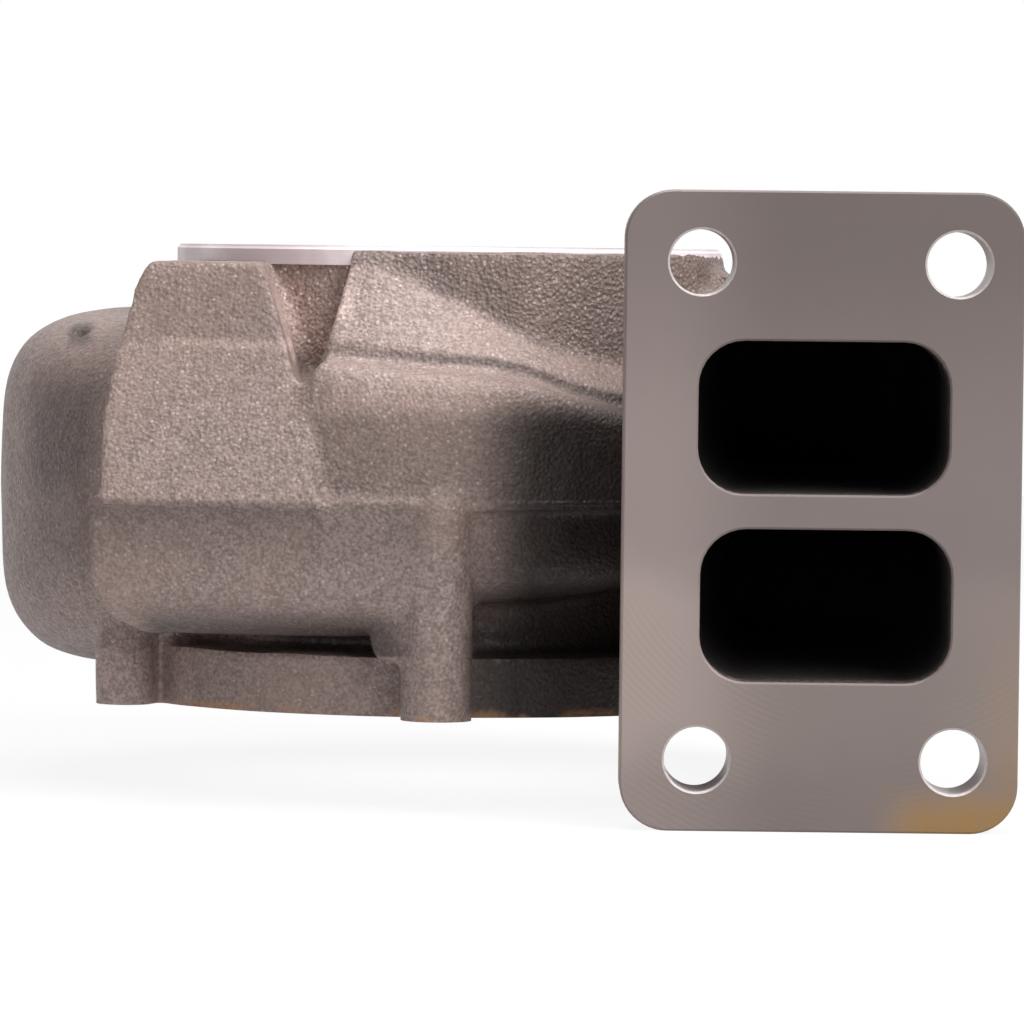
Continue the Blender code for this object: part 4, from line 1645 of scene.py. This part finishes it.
@dataclass
class Foundry:
    """Runs shells together into one body, and cuts and joins it with others."""

    finishes: Finishes
    voxel: float = 0.9
    blend_factor: float = 0.5
    blend_passes: int = 5
    keep_share: float = 0.5

    def settle(self, item: bpy.types.Object) -> None:
        """Apply an object's modifiers to its mesh.

        Args:
            item: The object.
        """
        graph = bpy.context.evaluated_depsgraph_get()
        made = bpy.data.meshes.new_from_object(item.evaluated_get(graph), preserve_all_data_layers=True,
                                               depsgraph=graph)
        item.modifiers.clear()
        item.data = made

    def joined(self, name: str, shells: list[Shell]) -> bpy.types.Object:
        """Put several shells into one object.

        Args:
            name: The object's name.
            shells: The shells.

        Returns:
            The object.
        """
        shape = bmesh.new()
        order = []
        for shell in shells:
            mesh = shell.mesh(self.finishes.materials)
            first = len(shape.faces)
            shape.from_mesh(mesh)
            shape.faces.ensure_lookup_table()
            for material in mesh.materials:
                if material not in order:
                    order.append(material)
            for face in shape.faces[first:]:
                face.material_index = order.index(mesh.materials[face.material_index])
        made = bpy.data.meshes.new(name)
        shape.to_mesh(made)
        shape.free()
        for material in order:
            made.materials.append(material)
        item = bpy.data.objects.new(name, made)
        bpy.context.scene.collection.objects.link(item)
        return item

    def fuse(self, item: bpy.types.Object) -> None:
        """Run overlapping shells together and round their edges.

        Args:
            item: The object that holds the shells.
        """
        grow = item.modifiers.new("fuse", "REMESH")
        grow.mode = "VOXEL"
        grow.voxel_size = self.voxel * MM
        blend = item.modifiers.new("blend", "SMOOTH")
        blend.factor = self.blend_factor
        blend.iterations = self.blend_passes
        self.settle(item)

    def thin(self, item: bpy.types.Object) -> None:
        """Take away faces, first where the surface is flat.

        Args:
            item: The fused body.
        """
        fewer = item.modifiers.new("thin", "DECIMATE")
        fewer.ratio = self.keep_share
        self.settle(item)

    def work(self, item: bpy.types.Object, shells: list[Shell], joining: Joining) -> None:
        """Add shells to an object, or cut them out of it, one after another.

        Args:
            item: The object.
            shells: The tools.
            joining: Whether they are added or cut.
        """
        for shell in shells:
            tool = self.joined(shell.name, [shell])
            step = item.modifiers.new("machine", "BOOLEAN")
            step.operation = joining.value
            step.solver = "MANIFOLD"
            step.material_mode = "TRANSFER"
            step.object = tool
            self.settle(item)
            bpy.data.objects.remove(tool)


@dataclass
class Casting:
    """The whole housing: its pattern, its blending, its machining and its finishes."""

    foundry: Foundry
    scroll: Scroll = field(default_factory=Scroll)
    flange: InletFlange = field(default_factory=InletFlange)
    outlet: OutletSide = field(default_factory=OutletSide)
    bearing: BearingSide = field(default_factory=BearingSide)
    front: FrontForms = field(default_factory=FrontForms)
    sharp_angle: float = 34.0
    unevenness: float = 0.10
    wave_seed: int = 7
    wave_count: int = 14
    wave_lengths: Range = (7.0, 26.0)
    skin_inset: float = 0.36
    pit_place: tuple[float, float, float] = (-132.1, 77.6, 27.7)
    pit_radius: float = 1.7
    pit_depth: float = 2.2

    def uneven(self, item: bpy.types.Object) -> None:
        """Give the skin the slight waves and the one pit that a sand mould leaves.

        The skin lies inside the pattern by an even inset. The waves are a sum of sines along set
        directions, and the pit is a bell curve of the distance from its place. All of them move each
        point along its own normal.

        Args:
            item: The fused body.
        """
        mesh = item.data
        points = np.empty((len(mesh.vertices), 3))
        mesh.vertices.foreach_get("co", points.reshape(-1))
        normals = np.empty((len(mesh.vertices), 3), dtype=np.float32)
        mesh.vertex_normals.foreach_get("vector", normals.reshape(-1))
        rng = np.random.default_rng(self.wave_seed)
        waves = rng.normal(size=(self.wave_count, 3))
        waves /= np.linalg.norm(waves, axis=1)[:, None]
        lengths = rng.uniform(*self.wave_lengths, self.wave_count)
        phases = rng.uniform(0.0, 2 * math.pi, self.wave_count)
        turns = points @ (waves / (lengths * MM)[:, None] * 2 * math.pi).T + phases
        move = np.sin(turns).sum(axis=1) / math.sqrt(self.wave_count) * self.unevenness
        away = np.linalg.norm(points - np.array(self.pit_place) * MM, axis=1) / (self.pit_radius * MM)
        move -= self.skin_inset + self.pit_depth * np.exp(-away * away)
        points += normals * (move * MM)[:, None]
        mesh.vertices.foreach_set("co", points.reshape(-1))
        mesh.update()

    def pattern(self) -> list[Shell]:
        """List the shells that make up the outside."""
        neck = InletNeck(self.scroll)
        return [
            self.scroll.pattern(), neck.pattern(), self.flange.rough_plate(), self.outlet.neck(),
            self.outlet.pad(), self.front.shoulder(), self.front.gusset(), self.front.lower_wall(),
            self.front.column_head(), self.front.column_web(), *self.bearing.pattern(),
        ]

    def build(self) -> bpy.types.Object:
        """Cast and machine the housing.

        Returns:
            The finished object.
        """
        body = self.foundry.joined("turbine_housing_casting", self.pattern())
        self.foundry.fuse(body)
        body.data.materials.clear()
        body.data.materials.append(self.foundry.finishes.materials[Finish.CAST])
        self.uneven(body)
        LOG.info("cast body fused: %d faces", len(body.data.polygons))
        self.foundry.thin(body)
        self.foundry.work(body, [self.flange.machined_plate(), self.outlet.ring()], Joining.ADD)
        passages = GasPassages(self.scroll, InletNeck(self.scroll))
        cuts = passages.tools() + [self.outlet.facing_tool(), self.bearing.facing_tool()]
        cuts += self.flange.drills() + self.bearing.drills()
        self.foundry.work(body, cuts, Joining.CUT)
        self.dress(body)
        return body

    def dress(self, body: bpy.types.Object) -> None:
        """Shade the body smooth between its machined edges, and tie it to the frame.

        Args:
            body: The machined body.
        """
        mesh = body.data
        mesh.polygons.foreach_set("use_smooth", np.ones(len(mesh.polygons), dtype=bool))
        mesh.set_sharp_from_angle(angle=math.radians(self.sharp_angle))
        mesh.update()
        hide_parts("turbine_housing")
        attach(body, "root")


# The studio


@dataclass(frozen=True)
class Lamp:
    """A soft square lamp: where it hangs and how wide it is, in metres, and its power in watts."""

    name: str
    place: tuple[float, float, float]
    width: float
    watts: float

    def hang(self, aim: tuple[float, float, float]) -> bpy.types.Object:
        """Hang the lamp.

        Args:
            aim: What it points at, in metres.

        Returns:
            The lamp.
        """
        data = bpy.data.lights.new(self.name, "AREA")
        data.shape = "RECTANGLE"
        data.size = data.size_y = self.width
        data.energy = self.watts
        item = bpy.data.objects.new(self.name, data)
        look = (Vector(aim) - Vector(self.place)).to_track_quat("-Z", "Y")
        item.matrix_world = Matrix.Translation(self.place) @ look.to_matrix().to_4x4()
        bpy.context.scene.collection.objects.link(item)
        return item


@dataclass
class Studio:
    """A white floor and soft lamps, and the camera where the photograph was taken."""

    floor_height: float = -54.2
    floor_size: float = 3.0
    floor_grey: float = 0.80
    floor_roughness: float = 0.9
    floor_glow: float = 0.9
    ambient: float = 0.03
    aim: tuple[float, float, float] = (-0.06, 0.06, 0.0)
    lamps: tuple[Lamp, ...] = (
        Lamp("softbox_top", (-0.06, 0.015, 1.30), 1.0, 17.5),
        Lamp("key_high", (0.703, -0.580, 0.836), 0.5, 15.0),
        Lamp("key_low", (0.425, -0.980, 0.610), 0.5, 6.0),
    )
    camera_place: tuple[float, float, float] = (-53.34, -1100.0, 45.35)
    frame_pixels: float = 1024.0
    focal_pixels: float = 6522.0
    horizon_pixels: float = 272.0
    camera_roll: float = 0.66
    sensor: float = 36.0
    clips: Range = (0.1, 20.0)

    def floor(self) -> bpy.types.Object:
        """Lay the white floor, which glows for the camera and still takes a soft shadow.

        Returns:
            The floor.
        """
        half = self.floor_size / 2
        corners = np.array([(-half, -half), (half, -half), (half, half), (-half, half)])
        heights = np.full((4, 1), self.floor_height * MM)
        mesh = bpy.data.meshes.new("studio_floor")
        mesh.from_pydata(np.concatenate([corners, heights], axis=1).tolist(), [], [(0, 1, 2, 3)])
        item = bpy.data.objects.new("studio_floor", mesh)
        bpy.context.scene.collection.objects.link(item)
        bench = Bench("studio_floor")
        bench.dress(Base_Color=(self.floor_grey, self.floor_grey, self.floor_grey, 1.0),
                    Roughness=self.floor_roughness)
        glow = bench.node("ShaderNodeEmission")
        glow.inputs["Strength"].default_value = 1.0
        surface = bench.backdrop(bench.shader.outputs[0], glow.outputs[0], self.floor_glow)
        bench.feed(bench.output.inputs["Surface"], surface)
        mesh.materials.append(bench.material)
        return item

    def world(self) -> None:
        """Light the room evenly, and show it white to the camera and in reflections."""
        world = bpy.data.worlds.new("studio")
        world.use_nodes = True
        bpy.context.scene.world = world
        world.node_tree.nodes.clear()
        wiring = Wiring(world.node_tree)
        room = wiring.node("ShaderNodeBackground")
        room.inputs["Strength"].default_value = self.ambient
        white = wiring.node("ShaderNodeBackground")
        white.inputs["Color"].default_value = (1.0, 1.0, 1.0, 1.0)
        white.inputs["Strength"].default_value = 1.0
        out = wiring.node("ShaderNodeOutputWorld")
        wiring.feed(out.inputs["Surface"], wiring.backdrop(room.outputs[0], white.outputs[0]))

    def camera(self) -> bpy.types.Object:
        """Set the camera where the photograph was taken.

        The lens is the focal length in pixels over the frame's width in pixels, times the sensor. The
        pitch is the angle whose tangent is the horizon's height over the focal length.

        Returns:
            The camera.
        """
        data = bpy.data.cameras.new("photo_camera")
        data.sensor_width = self.sensor
        data.lens = self.focal_pixels / self.frame_pixels * self.sensor
        data.clip_start, data.clip_end = self.clips
        item = bpy.data.objects.new("photo_camera", data)
        place = Vector(self.camera_place) * MM
        pitch = math.atan(self.horizon_pixels / self.focal_pixels)
        tilt = Matrix.Rotation(math.pi / 2 - pitch, 4, "X")
        roll = Matrix.Rotation(math.radians(self.camera_roll), 4, "Z")
        item.matrix_world = Matrix.Translation(place) @ tilt @ roll
        bpy.context.scene.collection.objects.link(item)
        bpy.context.scene.camera = item
        return item

    def build(self) -> None:
        """Set up floor, world, lamps, camera and the plain view transform."""
        bpy.context.scene.view_settings.view_transform = "Standard"
        self.floor()
        self.world()
        for lamp in self.lamps:
            lamp.hang(self.aim)
        self.camera()


def main() -> None:
    """Build the housing and its studio."""
    logging.basicConfig(level=logging.INFO, format="%(message)s")
    Studio().build()
    body = Casting(Foundry(Finishes())).build()
    LOG.info("%s: %d faces, %s", body.name, len(body.data.polygons), [m.name for m in body.data.materials])


if __name__ == "__main__":
    main()
